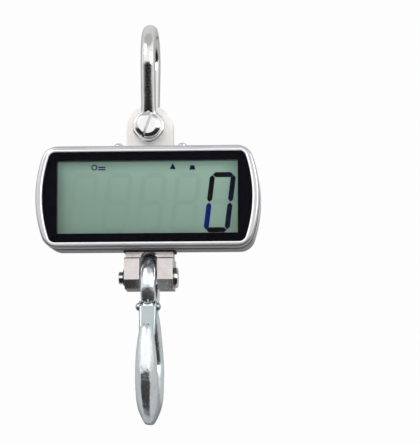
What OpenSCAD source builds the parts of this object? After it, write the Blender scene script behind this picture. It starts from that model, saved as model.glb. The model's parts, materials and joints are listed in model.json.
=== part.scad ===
// Digital hanging scale: shackle and lug on top, display housing around an S-beam
// load cell, clevis and latched eye hook below. Millimetres.
// X runs across the display, +Y to the back, +Z up. The origin is the inner top of
// the shackle bow, the point the scale hangs from; the load line is the Z axis.

/* [Housing] */
// Width of the housing across its bowed sides
body_w = 141; // [140.5:0.5:150]
// Height of the housing
body_h = 64.5; // [64:0.5:68]
// Radius of the bowed left and right sides
side_r = 80; // [76:1:110]
// Radius of the four outline corners
corner_r = 10.5; // [9.5:0.5:11.5]
// Wall thickness of both shells
wall = 2.4; // [2.2:0.1:2.6]
// Depth from the load line forward to the front face
front_d = 26; // [26:0.5:28]
// Depth from the load line back to the rear face
rear_d = 12; // [12:0.5:14]
// Radius that rounds the front and rear edges
edge_r = 1.8; // [1:0.2:1.8]
// Draft of the rear cover: how much each wall leans in at the back
draft = 0.6; // [0:0.1:0.6]

/* [Display] */
// Width of the dark window panel
panel_w = 132.6; // [128:0.2:133]
// Height of the dark window panel
panel_h = 57.4; // [56:0.2:57.6]
// Width of the viewing opening
view_w = 114; // [108:1:115]
// Height of the viewing opening
view_h = 46; // [42:1:46]
// Height of one digit
digit_h = 38.1; // [30:0.1:38.4]
// Width of one digit
digit_w = 16.4; // [14:0.2:18]

/* [Shackle] */
// Diameter of the shackle wire
wire_d = 9.5; // [8:0.5:9.5]
// Centreline radius of the bow
bow_r = 19.5; // [17:0.25:20]
// Height of the bow centre above the pin
bow_rise = 43; // [38:0.5:48]
// Diameter of the shackle pin
pin_d = 9.5; // [8:0.5:9.5]
// Diameter of the pin head
pin_head_d = 16.5; // [14:0.5:18]

/* [Lug] */
// Width of the suspension lug
lug_w = 29.3; // [28:0.1:29.4]
// Thickness of the suspension lug
lug_t = 14; // [12:0.5:14]
// Height of the shackle pin above the housing centre
lug_pin_z = 46; // [45.5:0.5:48]

/* [Clevis and hook] */
// Width of the clevis block
clevis_w = 30.6; // [30:0.2:32]
// Depth of the clevis block
clevis_d = 30; // [28:0.5:31]
// Width of the slot that takes the hook eye
slot_w = 11.2; // [11:0.1:11.6]
// Diameter of the clevis pin
cpin_d = 8; // [7:0.5:8]
// Thickness of the hook eye
eye_t = 9.2; // [8.6:0.1:9.2]

/* [Hidden] */
$fn = 48;

// Pieces are placed from the housing centre, this far below the origin.
hang = lug_pin_z + bow_rise + bow_r - wire_d / 2;
gap = 0.05;                // fitted gap between touching pieces
half_w = body_w / 2;
half_h = body_h / 2;
part_y = -11;              // parting plane of the two shells
front_y = -front_d;
rear_y = rear_d;
inner_top = half_h - wall;
inner_rear = rear_y - wall;

// Window stack, front to back: each _y is a front face
lens_y = front_y + 0.6;
lens_t = 1.5;
mask_y = lens_y + lens_t + gap;
mask_t = 1.2;
ledge_y = mask_y + mask_t + gap;
ledge_t = 1.6;
ledge_back = ledge_y + ledge_t;
glass_y = lens_y + 8;
glass_t = 2.6;
light_y = glass_y + glass_t + gap;
light_t = 2.5;
board_y = light_y + light_t + 0.8;
board_t = 1.6;
board_back = board_y + board_t + gap;  // front of what sits on the board's back
key_board_y = inner_rear - 5.6;
trim_w = 1.2;

// Screw places, each mirrored left to right and up and down
case_screw = [64.8, 12];
board_screw = [62.6, 20];
key_screw = [12.4, 24];    // from the middle of the buttons
top_screw_x = 20.3;
top_boss_h = 2;

// Buttons
button_x = 42;
button_z = [17, 0, -17];
button_r = 6;

// ---------- helpers ----------
module lower() { translate([0, 0, -hang]) children(); }
module rod_x(length, radius, start) {
  translate([start, 0, 0]) rotate([0, 90, 0]) cylinder(r = radius, h = length);
}
module rod_y(length, radius, start) {
  translate([0, start, 0]) rotate([-90, 0, 0]) cylinder(r = radius, h = length);
}
// 2D shapes as plates: drawn in YZ and raised along X, or drawn in XZ and raised along Y
module slab_x(start, thick) {
  translate([start, 0, 0]) rotate([90, 0, 90]) linear_extrude(thick) children();
}
module slab_y(start, thick) {
  translate([0, start, 0]) mirror([0, 1, 0]) rotate([90, 0, 0]) linear_extrude(thick) children();
}
module box(x0, x1, y0, y1, z0, z1) { translate([x0, y0, z0]) cube([x1 - x0, y1 - y0, z1 - z0]); }
// Box centred in X and Z
module plate(width, height, y0, y1) {
  box(-width / 2, width / 2, y0, y1, -height / 2, height / 2);
}
module round_rect(width, height, radius) {
  square([width - 2 * radius, height], center = true);
  square([width, height - 2 * radius], center = true);
  for (x = [-1, 1], y = [-1, 1])
    translate([x * (width / 2 - radius), y * (height / 2 - radius)]) circle(radius);
}
// Lower end of a mirrored pair's span: inner is its near face, size its length
function span_start(side, inner, size) = side > 0 ? inner : -inner - size;
module four_at(place) {
  for (x = [-place[0], place[0]], z = [-place[1], place[1]]) translate([x, 0, z]) children();
}
module at_key_screws() { translate([button_x, 0, 0]) four_at(key_screw) children(); }

function arc_points(x, y, radius, from, to, steps) =
  [for (i = [0:steps]) let (a = from + (to - from) * i / steps)
    [x + radius * cos(a), y + radius * sin(a)]];
// Outline with bowed sides and round corners, shrunk by inset. A corner arc starts or
// ends one skip, in degrees, from the side arc beside it.
function bowed(half_x, half_z, side, corner, inset) =
  let (bow_x = half_x - side, corner_z = half_z - corner,
       corner_x = bow_x + sqrt((side - corner) * (side - corner) - corner_z * corner_z),
       join = atan2(corner_z, corner_x - bow_x), skip = 9,
       side_in = side - inset, corner_in = corner - inset)
  concat(arc_points(bow_x, 0, side_in, -join, join, 12),
         arc_points(corner_x, corner_z, corner_in, join + skip, 90, 7),
         arc_points(-corner_x, corner_z, corner_in, 90, 180 - skip - join, 7),
         arc_points(-bow_x, 0, side_in, 180 - join, 180 + join, 12),
         arc_points(-corner_x, -corner_z, corner_in, 180 + skip + join, 270, 7),
         arc_points(corner_x, -corner_z, corner_in, 270, 360 - skip - join, 7));
function body_outline(inset) = bowed(half_w, half_h, side_r, corner_r, inset);
module outline(inset = 0) { polygon(body_outline(inset)); }
module outline_band(outer, inner) {
  difference() {
    outline(outer);
    outline(inner);
  }
}
module panel(inset = 0) { polygon(bowed(panel_w / 2, panel_h / 2, side_r + 2, 4.5, inset)); }
// What fits inside the shell walls
module shell_inside(start, thick) { slab_y(start, thick) outline(wall + 0.15); }

// Solid of the body outline. Rings run front to back; each is [depth, inset].
module ringed(rings) {
  count = len(body_outline(0));
  last = len(rings) - 1;
  points = [for (ring = rings) each [for (p = body_outline(ring[1])) [p[0], ring[0], p[1]]]];
  polyhedron(points, concat(
    [[for (j = [count - 1:-1:0]) j]],
    [for (i = [0:last - 1], j = [0:count - 1]) let (next = (j + 1) % count)
      [i * count + j, i * count + next, (i + 1) * count + next, (i + 1) * count + j]],
    [[for (j = [0:count - 1]) last * count + j]]));
}
// Rings that round an edge; inward is 1 at the front face, -1 at the rear
function edge_rings(y, inward) = [for (a = inward > 0 ? [90:-30:0] : [0:30:90])
  [y + inward * edge_r * (1 - sin(a)), edge_r * (1 - cos(a))]];

// Cross-slotted screw head with a domed top, seat at z = 0
module pan_head(radius, height) {
  rim = height * 0.45;
  dome = height * 0.55;
  dome_r = (radius * radius + dome * dome) / (2 * dome);
  difference() {
    union() {
      cylinder(r = radius, h = rim);
      translate([0, 0, rim]) intersection() {
        translate([0, 0, dome - dome_r]) sphere(dome_r);
        cylinder(r = radius, h = height);
      }
    }
    for (a = [0, 90]) rotate(a)
      translate([-radius * 0.55, -0.4, rim]) cube([radius * 1.1, 0.8, height]);
  }
}

// ---------- suspension ----------
ear_r = 10.25;
ear_t = 8;
ear_y = lug_t / 2 + 1;     // inner face of the rear ear
ear_out = ear_y + ear_t;
pin_head_t = 7.2;
stud_r = 6;
stud_h = 13;               // reach of the studs on the lug and the clevis
stud_fit = 0.06;           // radial clearance round studs and the clevis pin
cell_h = 42;
nut_t = 4;
flange_z = cell_h / 2 + nut_t + 2 * gap;  // underside of the lug's flange

module bow_shackle() color("silver") lower() translate([0, 0, lug_pin_z]) {
  // each limb leans in from the bow's tangent point towards the middle of its ear
  ear_mid = ear_y + ear_t / 2;
  reach = norm([ear_mid, bow_rise]);
  lean = asin(bow_r / reach) - atan2(ear_mid, bow_rise);
  limb_y = bow_r * cos(lean);
  limb_z = bow_rise - bow_r * sin(lean);
  limb = sqrt(reach * reach - bow_r * bow_r) - 3.5;
  cut = 12;                // half width and height of the cut between the ears
  difference() {
    union() {
      translate([0, 0, bow_rise]) rotate([90, 0, 90]) rotate([0, 0, -lean])
        rotate_extrude(angle = 180 + 2 * lean) translate([bow_r, 0]) circle(wire_d / 2);
      for (s = [-1, 1]) {
        translate([0, s * limb_y, limb_z]) rotate([-s * lean, 0, 0])
          translate([0, 0, -limb]) cylinder(d = wire_d + 0.2, h = limb + 0.6);
        rod_y(ear_t, ear_r, span_start(s, ear_y, ear_t));
      }
    }
    rod_y(ear_t * 3, pin_d / 2 + 0.08, -ear_out - ear_t - 0.5);
    rod_y(ear_t * 3, pin_d / 2 + 0.05, ear_y - ear_t);
    rod_y(20, pin_head_d / 2 + 0.5, -ear_out - 20);
    box(-cut, cut, -ear_y, ear_y, -cut, cut);
  }
}
module shackle_pin() color("gainsboro") lower() translate([0, 0, lug_pin_z]) {
  seat = -ear_out - gap;
  head_r = pin_head_d / 2;
  difference() {
    union() {
      rod_y(ear_out - seat, pin_d / 2, seat);
      translate([0, seat, 0]) rotate([90, 0, 0]) rotate_extrude()
        polygon([[0, 0], [head_r, 0], [head_r, 5.6], [head_r - 0.7, 6.7],
                 [head_r - 1.8, pin_head_t], [0, pin_head_t]]);
    }
    // slot across the head
    translate([0, seat - pin_head_t, 0]) rotate([0, 20, 0]) cube([1.6, 3.6, 30], center = true);
  }
}
module suspension_lug() color("ivory") lower() difference() {
  flange_half = 26;
  union() {
    translate([0, 0, lug_pin_z]) rod_y(lug_t, lug_w / 2, -lug_t / 2);
    box(-lug_w / 2, lug_w / 2, -lug_t / 2, lug_t / 2, flange_z, lug_pin_z);
    box(-flange_half, flange_half, -8, 8, flange_z, inner_top - gap);
    translate([0, 0, flange_z - stud_h]) cylinder(r = stud_r, h = stud_h + 0.5);
  }
  translate([0, 0, lug_pin_z]) rod_y(lug_t + 2, pin_d / 2 + 0.07, -lug_t / 2 - 1);
  for (s = [-1, 1]) translate([s * top_screw_x, 0, flange_z - 1]) cylinder(r = 1.55, h = 8);
}
module housing_top_screws() color("gainsboro") lower()
  for (s = [-1, 1]) translate([s * top_screw_x, 0, 0]) {
    seat = half_h + top_boss_h + gap;
    translate([0, 0, flange_z + 0.4]) cylinder(r = 1.5, h = seat - flange_z);
    translate([0, 0, seat]) pan_head(2.9, 3.2);
  }

// ---------- load cell ----------
cell_w = 30;
cell_d = 16;
bore_x = 4.2;              // the two bores through the middle of the cell
bore_r = 5.4;

module load_cell() color("lightsteelblue") lower() {
  tap_h = 13;
  slot_z = 10.6;
  slot_end = cell_w / 2 - 5;  // blind end of each slot
  open_end = cell_w / 2 + 1;
  relief_z = 3.2;
  difference() {
    box(-cell_w / 2, cell_w / 2, -cell_d / 2, cell_d / 2, -cell_h / 2, cell_h / 2);
    for (s = [-1, 1]) {
      translate([0, 0, span_start(s, cell_h / 2 - tap_h, tap_h + 1)])
        cylinder(r = stud_r + stud_fit, h = tap_h + 1);
      // the upper slot opens to the right, the lower to the left: the S form
      box(s > 0 ? -slot_end : -open_end, s > 0 ? open_end : slot_end,
          -cell_d, cell_d, s * slot_z - 1, s * slot_z + 0.6);
      translate([s * bore_x, 0, 0]) rod_y(cell_d + 2, bore_r, -cell_d / 2 - 1);
    }
    box(-bore_x, bore_x, -cell_d, cell_d, -bore_r, -relief_z);
    box(-bore_x, bore_x, -cell_d, cell_d, relief_z, bore_r);
    rod_x(cell_w, 1.6, 4);
  }
}
module strain_gauges() color("goldenrod") lower() {
  half = 1.6;
  thick = 0.15;
  for (x = [-bore_x, bore_x], t = [-1, 1]) {
    z = span_start(t, 4.97, thick);
    box(x - half, x + half, -3, 3, z, z + thick);
  }
}
module stud_lock_nuts() color("darkgray") lower() for (s = [-1, 1])
  translate([0, 0, span_start(s, cell_h / 2 + gap, nut_t)]) difference() {
    cylinder(d = 19 / cos(30), h = nut_t, $fn = 6);
    translate([0, 0, -1]) cylinder(r = stud_r + stud_fit, h = nut_t + 2);
  }

// ---------- clevis ----------
neck_w = 30;
neck_d = 16;
neck_bottom = -36.6;
block_top = -37.3;
block_bottom = -56.7;
slot_top = -32.3;
cpin_z = -48.8;
cpin_r = cpin_d / 2;
clevis_x = clevis_w / 2;   // right face of the block
clip_x = -clevis_x - 1.6;  // left side of the clip groove in the pin

module hook_clevis() color("rosybrown") lower() {
  half_d = clevis_d / 2;
  chamfer = 5.4;           // along the lower edges
  bevel = 0.6;             // along the upper edges
  inset = 0.8;             // of the waist between neck and block
  waist_x = neck_w / 2 - inset;
  waist_y = neck_d / 2 - inset;
  round_z = slot_top - slot_w / 2;
  difference() {
    union() {
      translate([0, 0, -flange_z - 0.5]) cylinder(r = stud_r, h = stud_h + 0.5);
      box(-neck_w / 2, neck_w / 2, -neck_d / 2, neck_d / 2, neck_bottom, -flange_z);
      box(-waist_x, waist_x, -waist_y, waist_y, block_top - 1, neck_bottom + 1);
      slab_x(-clevis_x, clevis_w)
        polygon([[-half_d, block_top - bevel], [-half_d + bevel, block_top],
                 [half_d - bevel, block_top], [half_d, block_top - bevel],
                 [half_d, block_bottom + chamfer], [half_d - chamfer, block_bottom],
                 [-half_d + chamfer, block_bottom], [-half_d, block_bottom + chamfer]]);
    }
    translate([0, 0, round_z]) rod_y(clevis_d + 2, slot_w / 2, -half_d - 1);
    box(-slot_w / 2, slot_w / 2, -half_d - 1, half_d + 1, block_bottom - 1, round_z);
    translate([0, 0, cpin_z]) rod_x(clevis_w + 2, cpin_r + stud_fit, -clevis_x - 1);
  }
}
// Head on the right, clip groove on the left
module clevis_pin() color("whitesmoke") lower() translate([0, 0, cpin_z]) {
  end_x = -clevis_x - 4.6;
  head_r = 6.6;
  difference() {
    rotate([0, 90, 0]) rotate_extrude()
      polygon([[0, end_x], [cpin_r - 0.5, end_x], [cpin_r, end_x + 0.5],
               [cpin_r, clevis_x + gap], [head_r, clevis_x + gap], [head_r, clevis_x + 1.4],
               [head_r - 0.7, clevis_x + 2.5], [0, clevis_x + 2.5]]);
    difference() {
      rod_x(1.1, cpin_r + 1, clip_x);
      rod_x(3, cpin_r - 0.8, clip_x - 1);
    }
  }
}
module pin_retaining_clip() color("dimgray") lower() translate([0, 0, cpin_z])
  slab_x(clip_x + 0.1, 0.9) difference() {
    mouth = 4.6;
    circle(5.6);
    circle(cpin_r - 0.74);
    translate([-mouth / 2, -8]) square([mouth, 8]);
    for (a = [30, 150]) rotate(a) translate([4.1, 0]) circle(1);
  }

// ---------- hook ----------
eye_in = 9.6;              // inner radius of the eye
eye_out = 21;
eye_z = cpin_z + cpin_r + gap - eye_in;
latch_y = -14;             // latch pivot
latch_z = eye_z - 14.15;
latch_slope = 14;          // of the closed latch from vertical, degrees
rivet_hole_r = 1.62;

// Stations down the back, round the bowl and up to the point: y, z, depth, width
hook_stations = [
  [1, -65.5, 21, 8.6], [5, -76, 17, 12], [11.5, -86, 17, 13.4],
  [18, -96, 18, 14.2], [20.4, -106, 19.6, 14.8], [17.6, -117, 22, 15.1],
  [9.6, -125.9, 24.2, 15.4], [-2, -129.7, 25, 15.4], [-13.6, -127, 23.6, 15],
  [-23.1, -119.9, 20.6, 14.6], [-28.2, -109.8, 16.9, 14], [-29.8, -99.8, 12.9, 12.9],
  [-29.6, -91, 10.2, 11], [-29.2, -84.4, 7.6, 8.8], [-28.8, -80.8, 4.6, 6]];
// Half of the unit section: outward place, sideways place. It is full towards the
// inside of the bowl and tapers to a narrow flat outside, as a forged hook does.
half_section = [[1, 0], [0.99, 0.22], [0.93, 0.38], [0.6, 0.67], [0.22, 0.91],
  [-0.12, 1], [-0.5, 0.97], [-0.8, 0.76], [-0.95, 0.42], [-1, 0]];
full_section = concat(half_section,
  [for (i = [8:-1:1]) [half_section[i][0], -half_section[i][1]]]);

// Catmull-Rom spline from p1 to p2
function spline(p0, p1, p2, p3, t) =
  0.5 * (2 * p1 + (p2 - p0) * t + (2 * p0 - 5 * p1 + 4 * p2 - p3) * t * t
         + (3 * p1 - p0 - 3 * p2 + p3) * t * t * t);
function station_at(k, t) = let (last = len(hook_stations) - 1)
  spline(hook_stations[max(k - 1, 0)], hook_stations[k],
         hook_stations[min(k + 1, last)], hook_stations[min(k + 2, last)], t);
function section_at(station, along) = let (outward = [-along[1], along[0]])
  [for (p = full_section) [station[3] / 2 * p[1],
    station[0] + outward[0] * station[2] / 2 * p[0],
    station[1] + outward[1] * station[2] / 2 * p[0]]];
module hook_sweep() {
  steps = 2;               // sections per station
  around = len(full_section);
  last = len(hook_stations) - 1;
  stations = [for (k = [0:last - 1], i = [0:steps - 1]) station_at(k, i / steps),
              hook_stations[last]];
  count = len(stations);
  points = [for (i = [0:count - 1])
    let (a = stations[max(i - 1, 0)], b = stations[min(i + 1, count - 1)],
         along = [b[0] - a[0], b[1] - a[1]])
    each section_at(stations[i], along / norm(along))];
  polyhedron(points, concat(
    [[for (j = [0:around - 1]) j]],
    [for (i = [0:count - 2], j = [0:around - 1])
      let (next = (j + 1) % around, here = i * around, above = here + around)
      each [[here + j, above + j, above + next], [here + j, above + next, here + next]]],
    [[for (j = [around - 1:-1:0]) (count - 1) * around + j]]));
}
module at_latch() { translate([0, latch_y, latch_z]) children(); }
module eye_hook() color("lightsteelblue") lower() {
  boss_w = 6.4;            // pivot boss of the latch
  difference() {
    union() {
      translate([0, 0, eye_z]) rotate([0, 90, 0]) rotate_extrude() intersection() {
        translate([(eye_in + eye_out) / 2, 0]) circle(5.75);
        translate([eye_in, -eye_t / 2]) square([eye_out - eye_in, eye_t]);
      }
      hook_sweep();
      at_latch() rod_x(boss_w, 3, -boss_w / 2);
    }
    at_latch() {
      rod_x(20, rivet_hole_r, -10);
      for (s = [-1, 1]) rod_x(5, 3.5, span_start(s, boss_w / 2, 5));
    }
  }
}
module hook_latch() color("lightgray") lower() at_latch() rotate([-latch_slope, 0, 0]) {
  length = 24;             // pivot to the free end
  flange_x = 4.65;         // inner face of each flange
  sheet = 0.9;
  flange_r = 3.6;
  front = -4.6;
  outer_x = flange_x + sheet;
  difference() {
    union() {
      for (s = [-1, 1]) slab_x(span_start(s, flange_x, sheet), sheet) union() {
        circle(flange_r);
        polygon([[-flange_r, 0], [flange_r, 0], [-1.4, -length + 4], [-flange_r, -length + 4]]);
      }
      box(-outer_x, outer_x, front, -flange_r, -length, 0);
      box(-outer_x, outer_x, front, -2.8, -length, -length + sheet);
    }
    rod_x(30, rivet_hole_r, -15);
  }
}
module latch_rivet() color("gainsboro") lower() at_latch() {
  head_r = 2.6;
  shank_r = 1.56;
  seat = 5.6;              // inner face of each head
  rim = 5.8;               // where each dome starts
  dome = 2.2;
  rotate([0, 90, 0]) rotate_extrude() polygon(concat(
    [[0, -rim - dome]],
    [for (a = [15:15:90]) [head_r * sin(a), -rim - dome * cos(a)]],
    [[head_r, -seat], [shank_r, -seat], [shank_r, seat], [head_r, seat]],
    [for (a = [90:-15:15]) [head_r * sin(a), rim + dome * cos(a)]],
    [[0, rim + dome]]));
}
// Torsion spring: a coil about the rivet on each side, with a short leg hanging
// behind the pivot and a long leg down the latch.
module latch_spring() color("silver") lower() at_latch() for (s = [-1, 1]) {
  around = 6;              // points round the wire
  turns = 1.5;
  steps = 20;              // sections per turn
  wire_r = 0.24;
  coil_x = 3.48;           // inner end of the coil
  pitch = 0.54;
  coil_r = 2.45;
  count = turns * steps + 1;
  points = [for (i = [0:count - 1]) let (a = 360 * i / steps)
    for (j = [0:around - 1]) let (b = 360 * j / around, r = coil_r + wire_r * cos(b))
      [s * (coil_x + pitch * i / steps) + wire_r * sin(b), r * cos(a), r * sin(a)]];
  polyhedron(points, concat(
    [[for (j = [around - 1:-1:0]) j]],
    [for (i = [0:count - 2], j = [0:around - 1])
      let (next = (j + 1) % around, here = i * around, beyond = here + around)
      each [[here + j, beyond + next, beyond + j], [here + j, here + next, beyond + next]]],
    [[for (j = [0:around - 1]) (count - 1) * around + j]]));
  translate([s * coil_x, coil_r, -2]) cylinder(r = wire_r, h = 2);
  translate([s * (coil_x + pitch * turns), -coil_r, 0]) rotate([-latch_slope, 0, 0])
    translate([0, 0, -12]) cylinder(r = wire_r, h = 12);
}

// ---------- battery and door places ----------
// The bay sits this far from the centre, clear of the lug's flange.
battery_z = -2.1;
battery_x = [-53.9, -39.4, -24.9];
battery_y = 1.5;
battery_r = 7.1;
battery_l = 50;
holder_left = -62.4;
holder_right = -16.6;
door_w = 45;
door_h = 53.4;
door_x = (holder_left + holder_right) / 2;

module door_plan(grow = 0) {
  translate([door_x, battery_z]) round_rect(door_w + 2 * grow, door_h + 2 * grow, 4 + grow);
}
module at_door_screws() {
  for (s = [-1, 1]) translate([door_x, 0, battery_z + s * 24.2]) children();
}

// ---------- housing ----------
top_opening = [32.2, 17];      // for the lug
bottom_opening = [32.8, 18.4]; // for the clevis neck
opening_r = 2;
groove_depth = 0.5;            // gasket groove in each shell
groove_out = 0.55;             // groove edges, in from the outline
groove_in = 1.8;

module gasket_groove() {
  slab_y(part_y - groove_depth, 2 * groove_depth) outline_band(groove_out, groove_in);
}
module front_shell() color("silver") lower() difference() {
  post_y = ledge_back - 1;
  union() {
    difference() {
      ringed(concat(edge_rings(front_y, 1), [[part_y, 0]]));
      slab_y(ledge_back, 20) outline(wall);
    }
    four_at(case_screw) rod_y(part_y - post_y, 2.3, post_y);
    four_at(board_screw) rod_y(board_y - post_y - gap, 1.9, post_y);
  }
  slab_y(front_y - 1, ledge_y - front_y + 1) panel(-trim_w - gap);
  slab_y(front_y, 10) panel(3);
  four_at(case_screw) rod_y(9, 1.3, part_y - 8);
  four_at(board_screw) rod_y(6, 1.05, board_y - 5);
  gasket_groove();
}
module neck_opening(size) {
  translate([0, 0, -6]) linear_extrude(12) round_rect(size[0], size[1], opening_r);
}
module rear_cover() color("silver") lower() difference() {
  bay_half = 25.6;         // half height of the battery opening
  tab_in = 21.6;           // screw tabs left in the opening
  tab_h = 4.4;
  union() {
    difference() {
      ringed(concat([[part_y, 0]],
        [for (ring = edge_rings(rear_y, -1)) [ring[0], ring[1] + draft]]));
      slab_y(part_y - 1, inner_rear - part_y + 1) outline(wall);
    }
    four_at(case_screw) rod_y(rear_y - 1 - part_y, 2.3, part_y);
    for (s = [-1, 1])
      translate([s * top_screw_x, 0, half_h - 0.5]) cylinder(r = 3.3, h = top_boss_h + 0.5);
    at_key_screws() rod_y(4.2, 2.1, inner_rear - 4 - gap);
  }
  translate([0, 0, half_h]) neck_opening(top_opening);
  translate([0, 0, -half_h]) neck_opening(bottom_opening);
  for (s = [-1, 1]) translate([s * top_screw_x, 0, half_h - 6]) cylinder(r = 1.6, h = 12);
  four_at(case_screw) {
    rod_y(40, 1.45, part_y - 1);
    rod_y(3, 2.4, rear_y - 2.2);
  }
  // battery opening and the rebate for its door
  difference() {
    box(holder_left + 1.4, holder_right - 1.4, inner_rear - 1, rear_y + 1,
        battery_z - bay_half, battery_z + bay_half);
    difference() {
      for (s = [-1, 1]) {
        z = battery_z + span_start(s, tab_in, tab_h);
        box(door_x - 3.5, door_x + 3.5, inner_rear - 2, rear_y - 1.3, z, z + tab_h);
      }
      at_door_screws() rod_y(6, 1.25, rear_y - 5);
    }
  }
  slab_y(rear_y - 1.3, 3) door_plan(0.15);
  for (z = button_z) translate([button_x, 0, z]) rod_y(8, button_r + 0.1, inner_rear - 2);
  at_key_screws() rod_y(4.4, 1.05, inner_rear - 4.5);
  gasket_groove();
}
module shell_gasket() color("black") lower()
  slab_y(part_y - groove_depth + gap, 2 * (groove_depth - gap))
    outline_band(groove_out + gap, groove_in - gap);
// Sleeve that fills an opening round a neck of neck_x by neck_y
module neck_seal(opening, height, neck_x, neck_y) {
  fit = 2 * gap;
  difference() {
    linear_extrude(height) round_rect(opening[0] - fit, opening[1] - fit, opening_r - gap);
    translate([0, 0, -1]) linear_extrude(wall + 4) round_rect(neck_x + fit, neck_y + fit, gap);
  }
}
module top_neck_seal() color("black") lower()
  translate([0, 0, inner_top]) neck_seal(top_opening, wall + 0.5, lug_w, lug_t);
module bottom_neck_seal() color("black") lower()
  translate([0, 0, -half_h - 0.9]) neck_seal(bottom_opening, wall + 0.9, neck_w, neck_d);
module rear_cover_screws() color("dimgray") lower() four_at(case_screw) {
  rod_y(rear_y - 2 - part_y + 7, 1.25, part_y - 7);
  difference() {
    rod_y(1.6, 2.2, rear_y - 2.15);
    translate([0, rear_y, 0]) cube([2.6, 1.6, 0.7], center = true);
  }
}

// ---------- display ----------
glass_w = 118.8;
glass_h = 50.8;

module window_trim() color("white") lower()
  slab_y(front_y - 0.5, ledge_y - gap - front_y + 0.5) difference() {
    panel(-trim_w);
    panel(-gap);
  }
module window_lens() color("lightcyan", 0.3) lower() slab_y(lens_y, lens_t) panel();
module window_mask() color("black") lower() difference() {
  rim = 1.2;
  union() {
    slab_y(mask_y, mask_t) panel(0.05);
    plate(view_w + 2 * rim, view_h + 2 * rim, mask_y, glass_y - gap);
  }
  plate(view_w, view_h, front_y, 0);
}
module lcd_glass() color("darkseagreen") lower()
  plate(glass_w, glass_h, glass_y, glass_y + glass_t);

segment_t = 3.2;
slant = 0.122;             // sideways shift of a digit per height
// One bar of a seven-segment digit, pointed at both ends
module bar(length, thick) {
  tip = length / 2;
  side = thick / 2;
  polygon([[-tip, 0], [-tip + side, side], [tip - side, side],
           [tip, 0], [tip - side, -side], [-tip + side, -side]]);
}
function slanted(p) = [p[0] + slant * p[1], p[1]];
// Bar between two places given in the upright digit
module segment(from, to) {
  a = slanted(from);
  b = slanted(to);
  translate((a + b) / 2) rotate(atan2(b[1] - a[1], b[0] - a[0]))
    bar(norm(b - a) - 0.35, segment_t);
}
module digit_zero() {
  x = (digit_w - segment_t) / 2;
  y = (digit_h - segment_t) / 2;
  for (s = [-1, 1]) {
    segment([-x, s * y], [x, s * y]);
    segment([s * x, -y], [s * x, 0]);
    segment([s * x, y], [s * x, 0]);
  }
}
module lcd_segments() color("midnightblue") lower() slab_y(glass_y - 0.08, 0.06) {
  translate([view_w / 2 - 11.7, -3.1]) digit_zero();
  // marks along the top: a ring, two bars, a triangle and a weight shape
  translate([-34, 19.6]) difference() {
    circle(1.9);
    circle(1.2);
  }
  for (y = [18.2, 19.6]) translate([-29.2, y]) square([4.6, 0.8], center = true);
  translate([15.6, 20]) polygon([[-2, -1.9], [2, -1.9], [0, 1.9]]);
  translate([28, 19.4]) polygon([[-1.9, -1.7], [1.9, -1.7], [1.2, 1.1], [-1.2, 1.1]]);
}
module lcd_frame() color("dimgray") lower() difference() {
  intersection() {
    plate(121.2, 54.4, glass_y, light_y + light_t + 0.6);
    shell_inside(glass_y - 1, 20);
  }
  plate(glass_w + 0.2, glass_h + 0.2, glass_y - 1, 0);
}
module backlight_panel() color("white") lower() plate(118, 48.8, light_y, light_y + light_t);
module lcd_pins() color("gold") lower() {
  pitch = 3.2;
  half = 0.25;
  for (i = [-14:14])
    box(i * pitch - half, i * pitch + half, light_y, board_y - gap, 24.8, 25.2);
}
module main_board() color("darkgreen") lower() difference() {
  tab_h = 5.4;
  union() {
    plate(114, 58.4, board_y, board_y + board_t);
    for (s = [-1, 1]) {
      z = span_start(s, 17, tab_h);
      box(-64.4, 64.4, board_y, board_y + board_t, z, z + tab_h);
    }
  }
  four_at(board_screw) rod_y(10, 1.15, board_y - 2);
  box(-30, 30, board_y - 1, board_y + 5, 25, 31);
}
// Chips on the back of the board: left, right, bottom, top, height
chips = [[24, 34, 6, 16, 1.5], [38, 44, -6, -1, 1.5],
  [24, 30, -14, -10, 1.2], [-15, -8, -26, -22.4, 0.8]];
module board_chips() color("black") lower() {
  for (k = chips) box(k[0], k[1], board_back, board_back + k[4], k[2], k[3]);
  translate([50, 0, 12]) rod_y(3.5, 2.5, board_back);
}
module board_screws() color("silver") lower() {
  head_r = 1.75;
  head_t = 0.9;
  shank = 4.6;
  four_at(board_screw) {
    rod_y(shank + gap, 1, board_y + board_t - shank);
    rod_y(head_t, head_r, board_back);
  }
  at_key_screws() {
    rod_y(head_t, head_r, key_board_y - gap - head_t);
    rod_y(5, 1, key_board_y - gap - 0.1);
  }
}

// ---------- battery ----------
module battery_holder() color("black") lower() difference() {
  front = board_back + 1;
  half = 27;
  side = 1.1;
  intersection() {
    box(holder_left, holder_right, front, inner_rear - gap, battery_z - half, battery_z + half);
    shell_inside(front - 1, 40);
  }
  box(holder_left + side, holder_right - side, front + 1, rear_y,
      battery_z - half + 1, battery_z + half - 1);
}
module battery_cells() color("steelblue") lower()
  for (x = battery_x) translate([x, battery_y, battery_z]) {
    end = battery_l / 2;
    tip = 1.7;             // height of the top terminal
    translate([0, 0, -end + 0.4]) cylinder(r = battery_r, h = battery_l - 1.6);
    translate([0, 0, -end]) cylinder(r = 5.5, h = 2);
    translate([0, 0, end - tip]) cylinder(r = 2.7, h = tip);
  }
module battery_contacts() color("gold") lower() {
  half = 5.5;
  thick = 0.4;
  for (x = battery_x, s = [-1, 1]) {
    z = battery_z + span_start(s, battery_l / 2 + gap, thick);
    box(x - half, x + half, battery_y - half, battery_y + half, z, z + thick);
  }
}
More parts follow.
